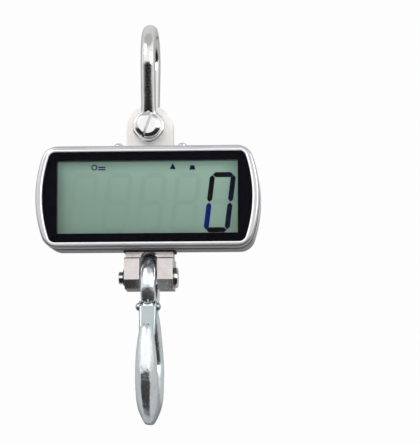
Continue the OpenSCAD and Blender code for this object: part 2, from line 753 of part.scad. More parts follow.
module battery_door() color("dimgray") lower() difference() {
  door_t = 1.25;
  union() {
    slab_y(rear_y - door_t, door_t) door_plan();
    // a rib behind each battery
    for (x = battery_x) box(x - 0.8, x + 0.8, battery_y + battery_r + 0.2, rear_y - 1,
                            battery_z - 18, battery_z + 18);
  }
  at_door_screws() {
    rod_y(6, 1.35, rear_y - 4);
    rod_y(2, 2.3, rear_y - 0.7);
  }
  // grip grooves
  for (i = [-3:3]) translate([door_x, 0, -12 + i * 1.8])
    box(-9, 9, rear_y - 0.5, rear_y + 1, 0, 0.9);
}
module battery_door_screws() color("silver") lower() at_door_screws() {
  rod_y(2.4, 1.2, rear_y - 2.9);
  difference() {
    rod_y(0.6, 2.1, rear_y - 0.68);
    translate([0, rear_y, 0]) cube([2.6, 0.7, 0.5], center = true);
  }
}

// ---------- keys ----------
switch_h = 3.8;            // board front to the top of a switch
module key_board() color("darkgreen") lower() difference() {
  translate([button_x, 0, 0]) plate(30, 53, key_board_y, key_board_y + 1.5);
  at_key_screws() rod_y(4, 1.15, key_board_y - 1);
}
module key_switches() color("black") lower() for (z = button_z) translate([button_x, 0, z]) {
  plate(6, 6, key_board_y + 1.5 + gap, key_board_y + switch_h - 0.4);
  rod_y(0.5, 1.5, key_board_y + switch_h - 0.5);
}
module key_cap(z) lower() translate([button_x, 0, z]) {
  start = key_board_y + switch_h + 1.05;
  flange_t = 0.8;
  rod_y(rear_y - 0.1 - start, button_r, start);
  rod_y(flange_t, button_r + 1.2, inner_rear - flange_t - gap);
}
module power_button() color("firebrick") key_cap(button_z[0]);
module zero_button() color("dimgray") key_cap(button_z[1]);
module hold_button() color("dimgray") key_cap(button_z[2]);

// ---------- wiring ----------
module path_tube(path, radius) {
  for (i = [0:len(path) - 2]) {
    run = path[i + 1] - path[i];
    translate(path[i]) rotate([0, acos(run[2] / norm(run)), atan2(run[1], run[0])])
      cylinder(r = radius, h = norm(run));
  }
  for (p = path) translate(p) sphere(radius);
}
module load_cell_cable() color("gray") lower()
  path_tube([[16.3, 0, 0], [19, 0, 0], [19, 0, -17], [19, -7.2, -17]], 1.2);
module battery_lead() color("red") lower()
  path_tube([[-15.9, 4, 22.6], [-15.9, board_back + 0.5, 22.6]], 0.5);
module key_ribbon() color("tan") lower() {
  thick = 0.4;
  bottom = -28.2;
  front = board_back + 0.1;
  back = key_board_y - gap;
  translate([button_x - 3, 0, 0]) {
    box(-5, 5, front, back, bottom, bottom + thick);
    for (y = [front, back - thick]) box(-5, 5, y, y + thick, bottom, -22);
  }
}

bow_shackle();
shackle_pin();
suspension_lug();
housing_top_screws();
load_cell();
strain_gauges();
stud_lock_nuts();
hook_clevis();
clevis_pin();
pin_retaining_clip();
eye_hook();
hook_latch();
latch_rivet();
latch_spring();
front_shell();
rear_cover();
shell_gasket();
window_trim();
window_lens();
window_mask();
lcd_glass();
lcd_segments();
lcd_frame();
backlight_panel();
lcd_pins();
main_board();
board_chips();
board_screws();
battery_holder();
battery_cells();
battery_contacts();
battery_door();
battery_door_screws();
key_board();
key_switches();
power_button();
zero_button();
hold_button();
rear_cover_screws();
top_neck_seal();
bottom_neck_seal();
load_cell_cable();
battery_lead();
key_ribbon();
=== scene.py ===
"""Digital hanging scale: finished looks built round its CAD frame.

The frame is in metres with +Z up. The display faces -Y, and +X is to the right seen from the front.
The shackle is above the housing and the hook below it. New pieces are drawn in millimetres about
the height of the housing's centre, HOUSING_Z, and at() takes them to the frame.
"""
import json
import math
from functools import cached_property

import bmesh
import bpy
import numpy as np
from mathutils import Matrix, Vector, noise

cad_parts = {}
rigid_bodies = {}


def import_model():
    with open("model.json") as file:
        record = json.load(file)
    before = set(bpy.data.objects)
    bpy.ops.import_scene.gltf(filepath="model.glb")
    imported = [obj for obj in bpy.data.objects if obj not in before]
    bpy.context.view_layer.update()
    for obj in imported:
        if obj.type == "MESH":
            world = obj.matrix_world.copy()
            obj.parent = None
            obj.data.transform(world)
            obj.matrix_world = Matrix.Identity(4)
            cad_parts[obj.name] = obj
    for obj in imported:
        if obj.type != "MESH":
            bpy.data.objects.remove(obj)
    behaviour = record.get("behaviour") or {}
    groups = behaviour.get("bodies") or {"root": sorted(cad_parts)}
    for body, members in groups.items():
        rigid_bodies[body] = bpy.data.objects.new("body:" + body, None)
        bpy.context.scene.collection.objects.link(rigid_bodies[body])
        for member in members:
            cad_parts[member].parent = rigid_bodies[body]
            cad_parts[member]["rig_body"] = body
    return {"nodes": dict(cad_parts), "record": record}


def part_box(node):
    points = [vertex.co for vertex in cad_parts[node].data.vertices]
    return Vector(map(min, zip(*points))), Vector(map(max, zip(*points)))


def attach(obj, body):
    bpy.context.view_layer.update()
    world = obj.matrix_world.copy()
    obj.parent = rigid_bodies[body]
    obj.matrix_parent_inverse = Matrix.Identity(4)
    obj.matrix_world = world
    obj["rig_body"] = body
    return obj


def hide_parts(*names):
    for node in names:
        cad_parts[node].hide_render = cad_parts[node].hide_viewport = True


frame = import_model()
NODES = frame["nodes"]
SLOTS = {part["node"]: part["material_slot"] for part in frame["record"]["subparts"]}
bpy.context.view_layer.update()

MM = 0.001

# ---------------------------------------------------------------- places taken from the frame
shell_low, shell_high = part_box("front_shell")
HOUSING_Z = (shell_low.z + shell_high.z) / 2   # metres; every other place here is in millimetres


def half_size(node, axis):
    low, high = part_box(node)
    return (getattr(high, axis) - getattr(low, axis)) / 2 / MM


def middle_z(node):
    """Height of a node's middle above the housing's centre."""
    low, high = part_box(node)
    return ((low.z + high.z) / 2 - HOUSING_Z) / MM


HALF_W, HALF_H = half_size("front_shell", "x"), half_size("front_shell", "z")
FRONT_Y = shell_low.y / MM
PART_Y = shell_high.y / MM                     # where the front shell meets the rear cover
TRIM_HALF_W, TRIM_HALF_H = half_size("window_trim", "x"), half_size("window_trim", "z")
TRIM_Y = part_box("window_trim")[0].y / MM
MASK_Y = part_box("window_mask")[0].y / MM       # front of the window mask
GLASS_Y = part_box("lcd_glass")[0].y / MM        # front of the display glass
SHACKLE_PIN_Z = middle_z("shackle_pin")
CLEVIS_PIN_Z = middle_z("clevis_pin")
rivet_low, rivet_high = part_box("latch_rivet")
RIVET_Y, RIVET_Z = (rivet_low.y + rivet_high.y) / 2 / MM, middle_z("latch_rivet")

# ---------------------------------------------------------------- shared sizes, millimetres
SIDE_R, CORNER_R = 80.0, 10.5                  # bowed sides and corners of the housing's outline
EDGE_R, WALL = 1.8, 2.4                        # front edge radius and wall of the front shell
TRIM_W, TRIM_GAP = 1.2, 0.05                   # bead round the window, and its clearance
WINDOW_HALF_W, WINDOW_HALF_H = TRIM_HALF_W - TRIM_W, TRIM_HALF_H - TRIM_W
WINDOW_SIDE_R, WINDOW_CORNER_R = SIDE_R + 2, 4.5

DIGIT_X = 45.3                                 # middle of the right-hand digit
DIGIT_PITCH, DIGIT_COUNT = 21.6, 5
DIGIT_W, DIGIT_H, BAR_W = 16.4, 38.1, 3.2
DIGIT_SLANT = 0.122                            # sideways lean for each unit of height


def at(x, y, z):
    """Millimetres about the housing's centre to the frame."""
    return Vector((x * MM, y * MM, HOUSING_Z + z * MM))


# ---------------------------------------------------------------- mesh helpers
def link_object(name, mesh):
    obj = bpy.data.objects.new(name, mesh)
    bpy.context.scene.collection.objects.link(obj)
    return obj


def bmesh_object(name, bm):
    mesh = bpy.data.meshes.new(name)
    bm.to_mesh(mesh)
    bm.free()
    return link_object(name, mesh)


def mesh_object(name, points, faces, smooth=True):
    """An object from points in metres, with doubles merged and normals turned outwards."""
    mesh = bpy.data.meshes.new(name)
    mesh.from_pydata([tuple(p) for p in points], [], faces)
    mesh.validate()
    obj = link_object(name, mesh)
    bm = bmesh.new()
    bm.from_mesh(mesh)
    bmesh.ops.remove_doubles(bm, verts=bm.verts, dist=1e-7)
    bmesh.ops.recalc_face_normals(bm, faces=bm.faces)
    bm.to_mesh(mesh)
    bm.free()
    if smooth:
        mesh.shade_smooth()
    return obj


def new_piece(name, points, faces, smooth=True):
    """An object from points in millimetres."""
    return mesh_object(name, [at(*p) for p in points], faces, smooth)


def ring_piece(name, rings, loop=False):
    """Joins equal closed rings of points. loop joins the last to the first; otherwise both
    ends are capped."""
    size, count = len(rings[0]), len(rings)
    faces = []
    for i in range(count if loop else count - 1):
        a, b = i * size, ((i + 1) % count) * size
        for j in range(size):
            k = (j + 1) % size
            faces.append((a + j, a + k, b + k, b + j))
    if not loop:
        faces.append(tuple(range(size))[::-1])
        faces.append(tuple((count - 1) * size + j for j in range(size)))
    return new_piece(name, [p for ring in rings for p in ring], faces)


def apply_modifiers(obj):
    """Replaces the object's mesh with what its modifiers make of it."""
    depsgraph = bpy.context.evaluated_depsgraph_get()
    mesh = bpy.data.meshes.new_from_object(obj.evaluated_get(depsgraph))
    obj.modifiers.clear()
    obj.data = mesh


def join_pieces(name, pieces):
    points, faces = [], []
    for piece in pieces:
        first = len(points)
        points += [tuple(v.co) for v in piece.data.vertices]
        faces += [tuple(first + i for i in p.vertices) for p in piece.data.polygons]
        bpy.data.objects.remove(piece)
    return mesh_object(name, points, faces)


def remesh(obj, voxel, smoothing):
    """Melts overlapping parts into one skin and softens it over some smoothing passes."""
    skin = obj.modifiers.new("skin", "REMESH")
    skin.mode = "VOXEL"
    skin.voxel_size = voxel * MM
    skin.use_smooth_shade = True
    soften = obj.modifiers.new("soften", "SMOOTH")
    soften.factor, soften.iterations = 0.5, smoothing
    apply_modifiers(obj)


def cut(obj, tool):
    """Takes the tool's volume out of the object and removes the tool."""
    boolean = obj.modifiers.new("cut", "BOOLEAN")
    boolean.operation, boolean.object, boolean.solver = "DIFFERENCE", tool, "MANIFOLD"
    apply_modifiers(obj)
    bpy.data.objects.remove(tool)
    assert len(obj.data.polygons) > 50, "the cut lost the piece"


def sharpen(obj, degrees):
    """Shades smooth, with edges steeper than the angle kept sharp."""
    obj.data.shade_smooth()
    obj.data.set_sharp_from_angle(angle=math.radians(degrees))


def weight_normals(obj, weight=50):
    modifier = obj.modifiers.new("wn", "WEIGHTED_NORMAL")
    modifier.keep_sharp, modifier.weight = True, weight


def bevel(obj, width, segments, min_degrees, arc_miter=False):
    modifier = obj.modifiers.new("bevel", "BEVEL")
    modifier.width, modifier.segments = width * MM, segments
    modifier.limit_method, modifier.angle_limit = "ANGLE", math.radians(min_degrees)
    if arc_miter:
        modifier.miter_outer = "MITER_ARC"
    apply_modifiers(obj)


def cylinder(center, axis, radius, length, segments):
    """A capped cylinder about its centre."""
    bm = bmesh.new()
    bmesh.ops.create_cone(bm, cap_ends=True, segments=segments, radius1=radius * MM,
                          radius2=radius * MM, depth=length * MM)
    turn = Vector(axis).to_track_quat("Z", "Y").to_matrix().to_4x4()
    bmesh.ops.transform(bm, matrix=Matrix.Translation(at(*center)) @ turn, verts=bm.verts)
    return bmesh_object("cylinder", bm)


def box(x_span, y_span, z_span, turn=0.0, pivot_z=0.0):
    """A box, turned by some degrees about the line x = 0, z = pivot_z."""
    c, s = math.cos(math.radians(turn)), math.sin(math.radians(turn))
    points = [(x * c + (z - pivot_z) * s, y, pivot_z - x * s + (z - pivot_z) * c)
              for x in x_span for y in y_span for z in z_span]
    faces = [(0, 1, 3, 2), (4, 6, 7, 5), (0, 4, 5, 1), (2, 3, 7, 6), (0, 2, 6, 4), (1, 5, 7, 3)]
    return new_piece("box", points, faces, smooth=False)


def revolve(name, profile, origin, axis, steps):
    """Turns a closed profile of (radius, height) points about an axis through the origin."""
    turn = Vector(axis).to_track_quat("Z", "Y").to_matrix()
    rings = []
    for k in range(steps):
        a = 2 * math.pi * k / steps
        rings.append([Vector(origin) + turn @ Vector((r * math.cos(a), r * math.sin(a), h))
                      for r, h in profile])
    return ring_piece(name, rings, loop=True)


def sweep(name, stations, sides):
    """A capped tube in the YZ plane through stations of (y, z, radius along X, radius in plane)."""
    rings = []
    for i, (y, z, radius_x, radius_in) in enumerate(stations):
        before, after = stations[max(i - 1, 0)], stations[min(i + 1, len(stations) - 1)]
        along = Vector((0, after[0] - before[0], after[1] - before[1])).normalized()
        across = Vector((0, -along.z, along.y))
        angles = [2 * math.pi * k / sides for k in range(sides)]
        rings.append([(radius_x * math.cos(a), y + across.y * radius_in * math.sin(a),
                       z + across.z * radius_in * math.sin(a)) for a in angles])
    return ring_piece(name, rings)


def spline(points, steps):
    """Catmull-Rom curve through the points, with some steps between each two."""
    points = [np.array(p, float) for p in points]
    count = len(points)
    curve = []
    for k in range(count - 1):
        p0, p1, p2, p3 = (points[max(k - 1, 0)], points[k], points[k + 1],
                          points[min(k + 2, count - 1)])
        for i in range(steps):
            t = i / steps
            curve.append(0.5 * (2 * p1 + (p2 - p0) * t + (2 * p0 - 5 * p1 + 4 * p2 - p3) * t * t
                                + (3 * p1 - p0 - 3 * p2 + p3) * t ** 3))
    curve.append(points[-1])
    return curve


def roughen(obj, amplitude, scale, seed, calm_center, calm_radius, fade=6.0):
    """Moves the surface in and out with a smooth noise that fades to nothing at the calm ball."""
    vertices = obj.data.vertices
    normals = [v.normal.copy() for v in vertices]
    for v, normal in zip(vertices, normals):
        p = v.co * scale + Vector((seed, seed * 0.7, -seed))
        distance = (v.co - calm_center).length / MM
        share = max(0.0, min(1.0, (distance - calm_radius) / fade))
        v.co += normal * (noise.noise(p) + 0.5 * noise.noise(p * 2.3)) * amplitude * share * MM


# ---------------------------------------------------------------- shader graphs
MATERIALS = {}


class Graph:
    """A shader node tree, built by short calls that return output sockets."""

    def __init__(self, tree):
        self.tree = tree
        tree.nodes.clear()

    def add(self, kind, inputs=None, **settings):
        node = self.tree.nodes.new(kind)
        for key, value in settings.items():
            setattr(node, key, value)
        for key, value in (inputs or {}).items():
            self.put(node.inputs[key], value)
        return node

    def put(self, socket, value):
        """Links a socket, or sets a value; a colour is given as three numbers."""
        if isinstance(value, bpy.types.NodeSocket):
            self.tree.links.new(value, socket)
        elif value is not None:
            socket.default_value = (*value, 1) if socket.type == "RGBA" else value

    def math(self, operation, a, b, clamp=False):
        node = self.add("ShaderNodeMath", {0: a, 1: b}, operation=operation, use_clamp=clamp)
        return node.outputs[0]

    def times(self, a, b):
        return self.math("MULTIPLY", a, b)

    def remap(self, value, span=(0.3, 0.7), to=(0.0, 1.0), smooth=False):
        kind = "SMOOTHSTEP" if smooth else "LINEAR"
        sockets = {0: value, 1: span[0], 2: span[1], 3: to[0], 4: to[1]}
        return self.add("ShaderNodeMapRange", sockets, interpolation_type=kind).outputs[0]

    def mix(self, share, a, b):
        return self.add("ShaderNodeMix", {0: share, 6: a, 7: b}, data_type="RGBA").outputs[2]


class Surface(Graph):
    """The graph of a new material, which is entered in MATERIALS."""

    def __init__(self, name):
        self.material = bpy.data.materials.new(name)
        self.material.use_nodes = True
        super().__init__(self.material.node_tree)
        self.output = self.add("ShaderNodeOutputMaterial")
        MATERIALS[name] = self.material

    @cached_property
    def coords(self):
        return self.add("ShaderNodeTexCoord").outputs["Object"]

    @cached_property
    def geometry(self):
        return self.add("ShaderNodeNewGeometry").outputs

    def xyz(self):
        return self.add("ShaderNodeSeparateXYZ", {0: self.coords}).outputs

    def noise(self, scale, detail=3, rough=0.5, distort=0.0, stretch=None):
        coords = self.coords
        if stretch:
            mapping = self.add("ShaderNodeMapping", {"Vector": coords, "Scale": stretch})
            coords = mapping.outputs["Vector"]
        sockets = {"Vector": coords, "Scale": scale, "Detail": detail, "Roughness": rough,
                   "Distortion": distort}
        return self.add("ShaderNodeTexNoise", sockets).outputs["Fac"]

    def voronoi(self, scale):
        sockets = {"Vector": self.coords, "Scale": scale}
        return self.add("ShaderNodeTexVoronoi", sockets).outputs["Distance"]

    def bump(self, height, strength, distance, normal=None):
        sockets = {"Strength": strength, "Distance": distance, "Height": height, "Normal": normal}
        return self.add("ShaderNodeBump", sockets).outputs["Normal"]

    def worn_edges(self, radius, patches, span, to):
        """Edges found from the difference a small bevel makes, broken up by patches of noise."""
        rounded = self.add("ShaderNodeBevel", {"Radius": radius * MM}, samples=4)
        facing = self.add("ShaderNodeVectorMath",
                          {0: rounded.outputs[0], 1: self.geometry["Normal"]},
                          operation="DOT_PRODUCT").outputs["Value"]
        edge = self.remap(self.math("SUBTRACT", 1.0, facing), span=(0.02, 0.35))
        return self.times(edge, self.remap(self.noise(patches), span, to))

    def shade(self, color, rough, normal, metallic=0.0, specular=0.5, emission=None,
              strength=0.0):
        shader = self.add("ShaderNodeBsdfPrincipled", {
            "Base Color": color, "Metallic": metallic, "Roughness": rough, "Normal": normal,
            "Specular IOR Level": specular, "Coat Roughness": 0.1})
        if emission is not None:
            self.put(shader.inputs["Emission Color"], emission)
            self.put(shader.inputs["Emission Strength"], strength)
        self.put(self.output.inputs["Surface"], shader.outputs[0])


def srgb(*rgb):
    """sRGB 0-255 to linear."""
    return tuple((c / 255 / 12.92) if c / 255 <= 0.04045 else ((c / 255 + 0.055) / 1.055) ** 2.4
                 for c in rgb)


# ---------------------------------------------------------------- material families
def metal(name, base, dark, rough, grain, undulate=0.0, undulate_scale=90, brush=None,
          fine=0.15, wear=0.0, blotch=45, metallic=1.0, corner_shade_reach=0.0):
    """Plated or polished metal.

    base and dark are the mottled tints and blotch their scale; rough is the roughness range.
    grain, brush and fine are the scale, stretch and strength of the fine grain. undulate is the
    strength of soft waviness, wear that of bright edges; the last argument is the reach of a
    painted shade that darkens the colour in corners and hollows.
    """
    s = Surface(name)
    big = s.noise(blotch, detail=4, rough=0.6, distort=0.4)
    small = s.noise(grain, rough=0.6, stretch=brush)
    color = s.mix(s.remap(big, span=(0.35, 0.7)), base, dark)
    sheen = s.math("ADD", s.remap(big, to=rough), s.remap(small, to=(-0.04, 0.05)), clamp=True)
    if wear:
        edges = s.worn_edges(0.35, patches=400, span=(0.35, 0.6), to=(0.2, 1.0))
        color = s.mix(s.times(edges, wear), color, tuple(min(1.0, c * 1.25) for c in base))
    if corner_shade_reach:
        # painted shade: ambient occlusion darkens the colour towards near black in corners and
        # hollows
        occlusion = s.add("ShaderNodeAmbientOcclusion", {"Distance": corner_shade_reach * MM}, samples=6)
        painted_shade = s.remap(occlusion.outputs["AO"], span=(0.25, 0.85), to=(0.88, 0.0))
        color = s.mix(painted_shade, color, (0.035, 0.032, 0.03))
    normal = s.bump(small, strength=fine, distance=0.00006)
    if undulate:
        waves = s.noise(undulate_scale, detail=2, rough=0.4)
        normal = s.bump(waves, strength=undulate, distance=0.0012, normal=normal)
    s.shade(color, sheen, normal, metallic)


def plastic(name, base, rough, grain=1400, bump=0.25, tint=0.12, specular=0.4, wear=0.25):
    """Moulded plastic: grain of a scale and bump strength, clouds of tint, rubbed edges."""
    s = Surface(name)
    clouds = s.noise(70, detail=4, rough=0.6)
    lighter = tuple(min(1.0, c * (1 + 2.2 * tint) + 0.004) for c in base)
    darker = tuple(c * (1 - tint) for c in base)
    color = s.mix(s.remap(clouds), darker, lighter)
    edges = s.worn_edges(0.3, patches=500, span=(0.4, 0.65), to=(0.0, 1.0))
    color = s.mix(s.times(edges, wear), color, tuple(min(1, c * 1.8 + 0.05) for c in base))
    sheen = s.math("ADD", rough, s.remap(s.noise(220), to=(-0.08, 0.08)), clamp=True)
    normal = s.bump(s.voronoi(grain), strength=bump, distance=0.00005)
    s.shade(color, sheen, normal, specular=specular)


METALS = {
    "polished_steel": dict(base=(0.85, 0.845, 0.84), dark=(0.77, 0.765, 0.76), rough=(0.06, 0.13),
                           grain=1500, undulate=0.05, undulate_scale=110, fine=0.10, wear=0.3),
    "pin_steel": dict(base=(0.90, 0.90, 0.91), dark=(0.80, 0.80, 0.81), rough=(0.12, 0.20),
                      grain=1500, fine=0.2, wear=0.4, corner_shade_reach=1.6),
    "bright_steel": dict(base=(0.80, 0.80, 0.82), dark=(0.64, 0.64, 0.66), rough=(0.18, 0.32),
                         grain=1600, fine=0.25, wear=0.5),
    "nickel": dict(base=srgb(232, 225, 224), dark=srgb(218, 211, 210), rough=(0.22, 0.32),
                   grain=1800, fine=0.30, wear=0.4, blotch=70),
    "dark_steel": dict(base=(0.14, 0.14, 0.15), dark=(0.07, 0.07, 0.075), rough=(0.30, 0.45),
                       grain=1600, wear=0.8),
    "zinc_hook": dict(base=srgb(248, 253, 255), dark=srgb(232, 240, 244), rough=(0.17, 0.27),
                      grain=1300, undulate=0.17, undulate_scale=300, wear=0.3, blotch=110,
                      corner_shade_reach=1.2, metallic=0.97),
    "zinc_sheet": dict(base=srgb(184, 195, 197), dark=srgb(168, 180, 183), rough=(0.30, 0.42),
                       grain=1500, undulate=0.05, fine=0.3, wear=0.6, blotch=80),
    "spring_steel": dict(base=(0.70, 0.70, 0.72), dark=(0.5, 0.5, 0.52), rough=(0.2, 0.3),
                         grain=1500),
    "cell_steel": dict(base=(0.72, 0.74, 0.76), dark=(0.6, 0.62, 0.65), rough=(0.25, 0.4),
                       grain=1200, brush=(1, 1, 9), fine=0.4, wear=0.4),
    "gold": dict(base=(0.85, 0.63, 0.28), dark=(0.66, 0.46, 0.18), rough=(0.2, 0.34), grain=1500),
    "foil": dict(base=(0.72, 0.45, 0.17), dark=(0.5, 0.3, 0.1), rough=(0.3, 0.45), grain=2500,
                 fine=0.5),
}

PLASTICS = {
    "rubber_black": dict(base=(0.016, 0.016, 0.017), rough=0.6, grain=900, bump=0.4, tint=0.2,
                         specular=0.25, wear=0.1),
    "plastic_black": dict(base=(0.03, 0.03, 0.033), rough=0.5),
    "plastic_grey": dict(base=(0.085, 0.086, 0.092), rough=0.46, grain=1100, bump=0.35),
    "plastic_red": dict(base=(0.34, 0.018, 0.014), rough=0.42, grain=1500, bump=0.15),
    "light_white": dict(base=(0.72, 0.75, 0.72), rough=0.35, grain=1500, bump=0.1, tint=0.03),
    "chip_black": dict(base=(0.02, 0.02, 0.02), rough=0.5, grain=1800, bump=0.3),
    "cable_grey": dict(base=(0.20, 0.20, 0.21), rough=0.55, grain=900, bump=0.2),
    "wire_red": dict(base=(0.40, 0.02, 0.015), rough=0.5, grain=900, bump=0.1),
    "ribbon": dict(base=(0.50, 0.40, 0.24), rough=0.45, grain=900, bump=0.1),
}


# ---------------------------------------------------------------- single materials
def shell_silver():
    """Satin silver coat over cast metal: fine flake with painted glints, faint orange peel, rubbed
    edges.
    """
    s = Surface("shell_silver")
    clouds = s.noise(26, detail=4, rough=0.55)
    flake = s.voronoi(5200)
    peel = s.noise(520, detail=2)
    color = s.mix(s.remap(clouds), srgb(194, 193, 197), srgb(208, 207, 211))
    # painted glints: scattered flake cells are mixed towards near white
    glints = s.remap(flake, span=(0.25, 0.75), to=(0.10, 0.0))
    color = s.mix(glints, color, (0.98, 0.98, 1.0))
    edges = s.worn_edges(0.45, patches=350, span=(0.45, 0.65), to=(0.0, 0.8))
    color = s.mix(edges, color, (0.86, 0.86, 0.87))
    sheen = s.math("ADD", s.remap(clouds, to=(0.26, 0.34)),
                   s.remap(flake, span=(0.2, 0.8), to=(-0.04, 0.05)))
    normal = s.bump(flake, strength=0.10, distance=0.00004)
    normal = s.bump(peel, strength=0.06, distance=0.0002, normal=normal)
    s.shade(color, sheen, normal, metallic=0.86)


def trim_bright():
    """Bright bead round the window, with a faint painted glow, though the bead is no lamp."""
    s = Surface("trim_bright")
    color = s.mix(s.remap(s.noise(120)), (0.93, 0.93, 0.94), (0.99, 0.99, 1.0))
    # painted glow: emission lifts the bead brighter than its lighting makes it
    s.shade(color, s.remap(s.noise(700), to=(0.14, 0.26)),
            s.bump(s.noise(1500), strength=0.1, distance=0.00004),
            metallic=0.35, specular=0.8, emission=(0.95, 0.96, 1.0), strength=0.10)


def cream_metal():
    """Off-white satin coat on the lug."""
    s = Surface("cream_metal")
    clouds = s.remap(s.noise(60, detail=4, rough=0.6))
    color = s.mix(clouds, srgb(250, 246, 240), srgb(253, 250, 246))
    edges = s.worn_edges(0.5, patches=300, span=(0.4, 0.65), to=(0.0, 0.6))
    color = s.mix(edges, color, (0.80, 0.78, 0.76))
    s.shade(color, s.remap(s.noise(240), to=(0.32, 0.46)),
            s.bump(s.noise(1200, detail=2), strength=0.25, distance=0.00005), metallic=0.15)


def window_clear():
    """Clear cover: lets light through and mirrors faintly at grazing angles, with wipe marks."""
    s = Surface("window_clear")
    through = s.add("ShaderNodeBsdfTransparent", {"Color": (0.985, 0.99, 0.99)})
    wipes = s.noise(18, detail=5, rough=0.7, stretch=(1, 1, 0.3))
    mirror = s.add("ShaderNodeBsdfGlossy", {
        "Color": (1, 1, 1), "Roughness": s.remap(wipes, span=(0.35, 0.7), to=(0.015, 0.055))})
    ripple = s.bump(s.noise(9, detail=2), strength=0.02, distance=0.001)
    fresnel = s.add("ShaderNodeFresnel", {"IOR": 1.42, "Normal": ripple})
    outside = s.math("SUBTRACT", 1.0, s.geometry["Backfacing"])
    share = s.math("MULTIPLY", s.times(fresnel.outputs[0], 0.03), outside, clamp=True)
    both = s.add("ShaderNodeMixShader", {0: share, 1: through.outputs[0], 2: mirror.outputs[0]})
    s.put(s.output.inputs["Surface"], both.outputs[0])
    s.material.diffuse_color = (0.9, 0.95, 0.95, 0.25)


def mask_black():
    """Blue-black window mask with sparse specks."""
    s = Surface("mask_black")
    clouds = s.remap(s.noise(30, detail=4, rough=0.6))
    specks = s.remap(s.voronoi(900), span=(0.02, 0.05), to=(1.0, 0.0))
    color = s.mix(clouds, (0.0006, 0.0006, 0.0022), (0.0014, 0.0013, 0.0042))
    color = s.mix(s.times(specks, 0.12), color, (0.05, 0.05, 0.06))
    s.shade(color, s.remap(s.noise(200), to=(0.12, 0.22)),
            s.bump(s.noise(600), strength=0.04, distance=0.00004), specular=0.05)


def painted_display_light(s, low, high):
    """Blends (left, right) colours across the display, from the low pair to the high pair: painted
    light that stands in for how the light falls across the display, lighter up and to the right.
    """
    x, _, z = s.xyz()
    across = s.remap(x, span=(-57 * MM, 57 * MM))
    upward = s.remap(z, span=(HOUSING_Z - 23 * MM, HOUSING_Z + 23 * MM))
    return s.mix(s.math("POWER", upward, 3.0), s.mix(across, *low), s.mix(across, *high))


def lcd_green():
    """Reflective display: grey-green with clouds and a fine grain; painted light makes it lighter
    up and to the right, and a faint painted glow lifts it though it has no backlight.
    """
    s = Surface("lcd_green")
    # painted light: lighter up and to the right, as the light falls
    color = painted_display_light(s, low=(srgb(110, 134, 121), srgb(120, 146, 132)),
                             high=(srgb(132, 158, 147), srgb(142, 170, 158)))
    clouds = s.noise(55, rough=0.6)
    color = s.mix(s.remap(clouds, span=(0.35, 0.7), to=(0.0, 0.10)), color, srgb(116, 143, 127))
    grain = s.noise(2600, detail=1)
    color = s.mix(s.remap(grain, to=(0.0, 0.05)), color, srgb(104, 130, 116))
    # painted glow: the display's own colour is emitted faintly
    s.shade(color, s.remap(clouds, to=(0.28, 0.40)),
            s.bump(grain, strength=0.04, distance=0.00003),
            specular=0.25, emission=color, strength=0.16)


def lcd_ink():
    """Lit segments: near black, navy to the right, clear blue at the digit's lower left."""
    s = Surface("lcd_ink")
    x, _, z = s.xyz()
    middle = DIGIT_X * MM
    left = s.remap(x, span=(middle - 3 * MM, middle - 4 * MM))
    low = s.remap(z, span=(HOUSING_Z - 2.8 * MM, HOUSING_Z - 3.3 * MM))
    digit = s.remap(x, span=(middle - 14 * MM, middle - 12 * MM))
    above_foot = s.remap(z, span=(HOUSING_Z - 18.8 * MM, HOUSING_Z - 19.6 * MM), to=(1, 0))
    blue = s.times(s.times(left, low), s.times(digit, above_foot))
    right = s.remap(x, span=(middle + 1 * MM, middle + 5 * MM), to=(0, 0.7))
    clouds = s.noise(260, rough=0.6)
    color = s.mix(right, srgb(18, 13, 17), srgb(20, 22, 56))
    color = s.mix(s.math("SUBTRACT", 1.0, digit), color, srgb(8, 18, 62))
    color = s.mix(blue, color, s.mix(s.remap(clouds), srgb(8, 20, 96), srgb(16, 34, 116)))
    color = s.mix(s.remap(clouds, span=(0.35, 0.75), to=(0, 0.2)), color, srgb(16, 14, 20))
    s.shade(color, s.remap(clouds, to=(0.4, 0.55)),
            s.bump(s.noise(2000), strength=0.05, distance=0.00003), specular=0.06)


def lcd_ghost():
    """Unlit segments, a shade darker than the display, with the same painted light and a faint
    painted glow.
    """
    s = Surface("lcd_ghost")
    color = painted_display_light(s, low=(srgb(108, 131, 118), srgb(116, 141, 128)),
                             high=(srgb(128, 154, 142), srgb(136, 164, 152)))
    clouds = s.remap(s.noise(60), span=(0.35, 0.7), to=(0, 0.35))
    color = s.mix(clouds, color, srgb(122, 148, 133))
    # painted glow: the segments' own colour is emitted faintly
    s.shade(color, 0.4, s.bump(s.noise(2000), strength=0.03, distance=0.00003),
            specular=0.25, emission=color, strength=0.15)


def cell_wrap():
    """Printed dry-cell sleeve: two plain bands."""
    s = Surface("cell_wrap")
    z = s.xyz()["Z"]
    upper = s.remap(z, span=(HOUSING_Z + 12 * MM, HOUSING_Z + 12.3 * MM))
    color = s.mix(upper, (0.03, 0.10, 0.26), (0.62, 0.36, 0.06))
    color = s.mix(s.remap(s.noise(90), to=(0, 0.25)), color, (0.02, 0.05, 0.12))
    s.shade(color, s.remap(s.noise(400), to=(0.2, 0.34)),
            s.bump(s.noise(800), strength=0.08, distance=0.00004), metallic=0.35)


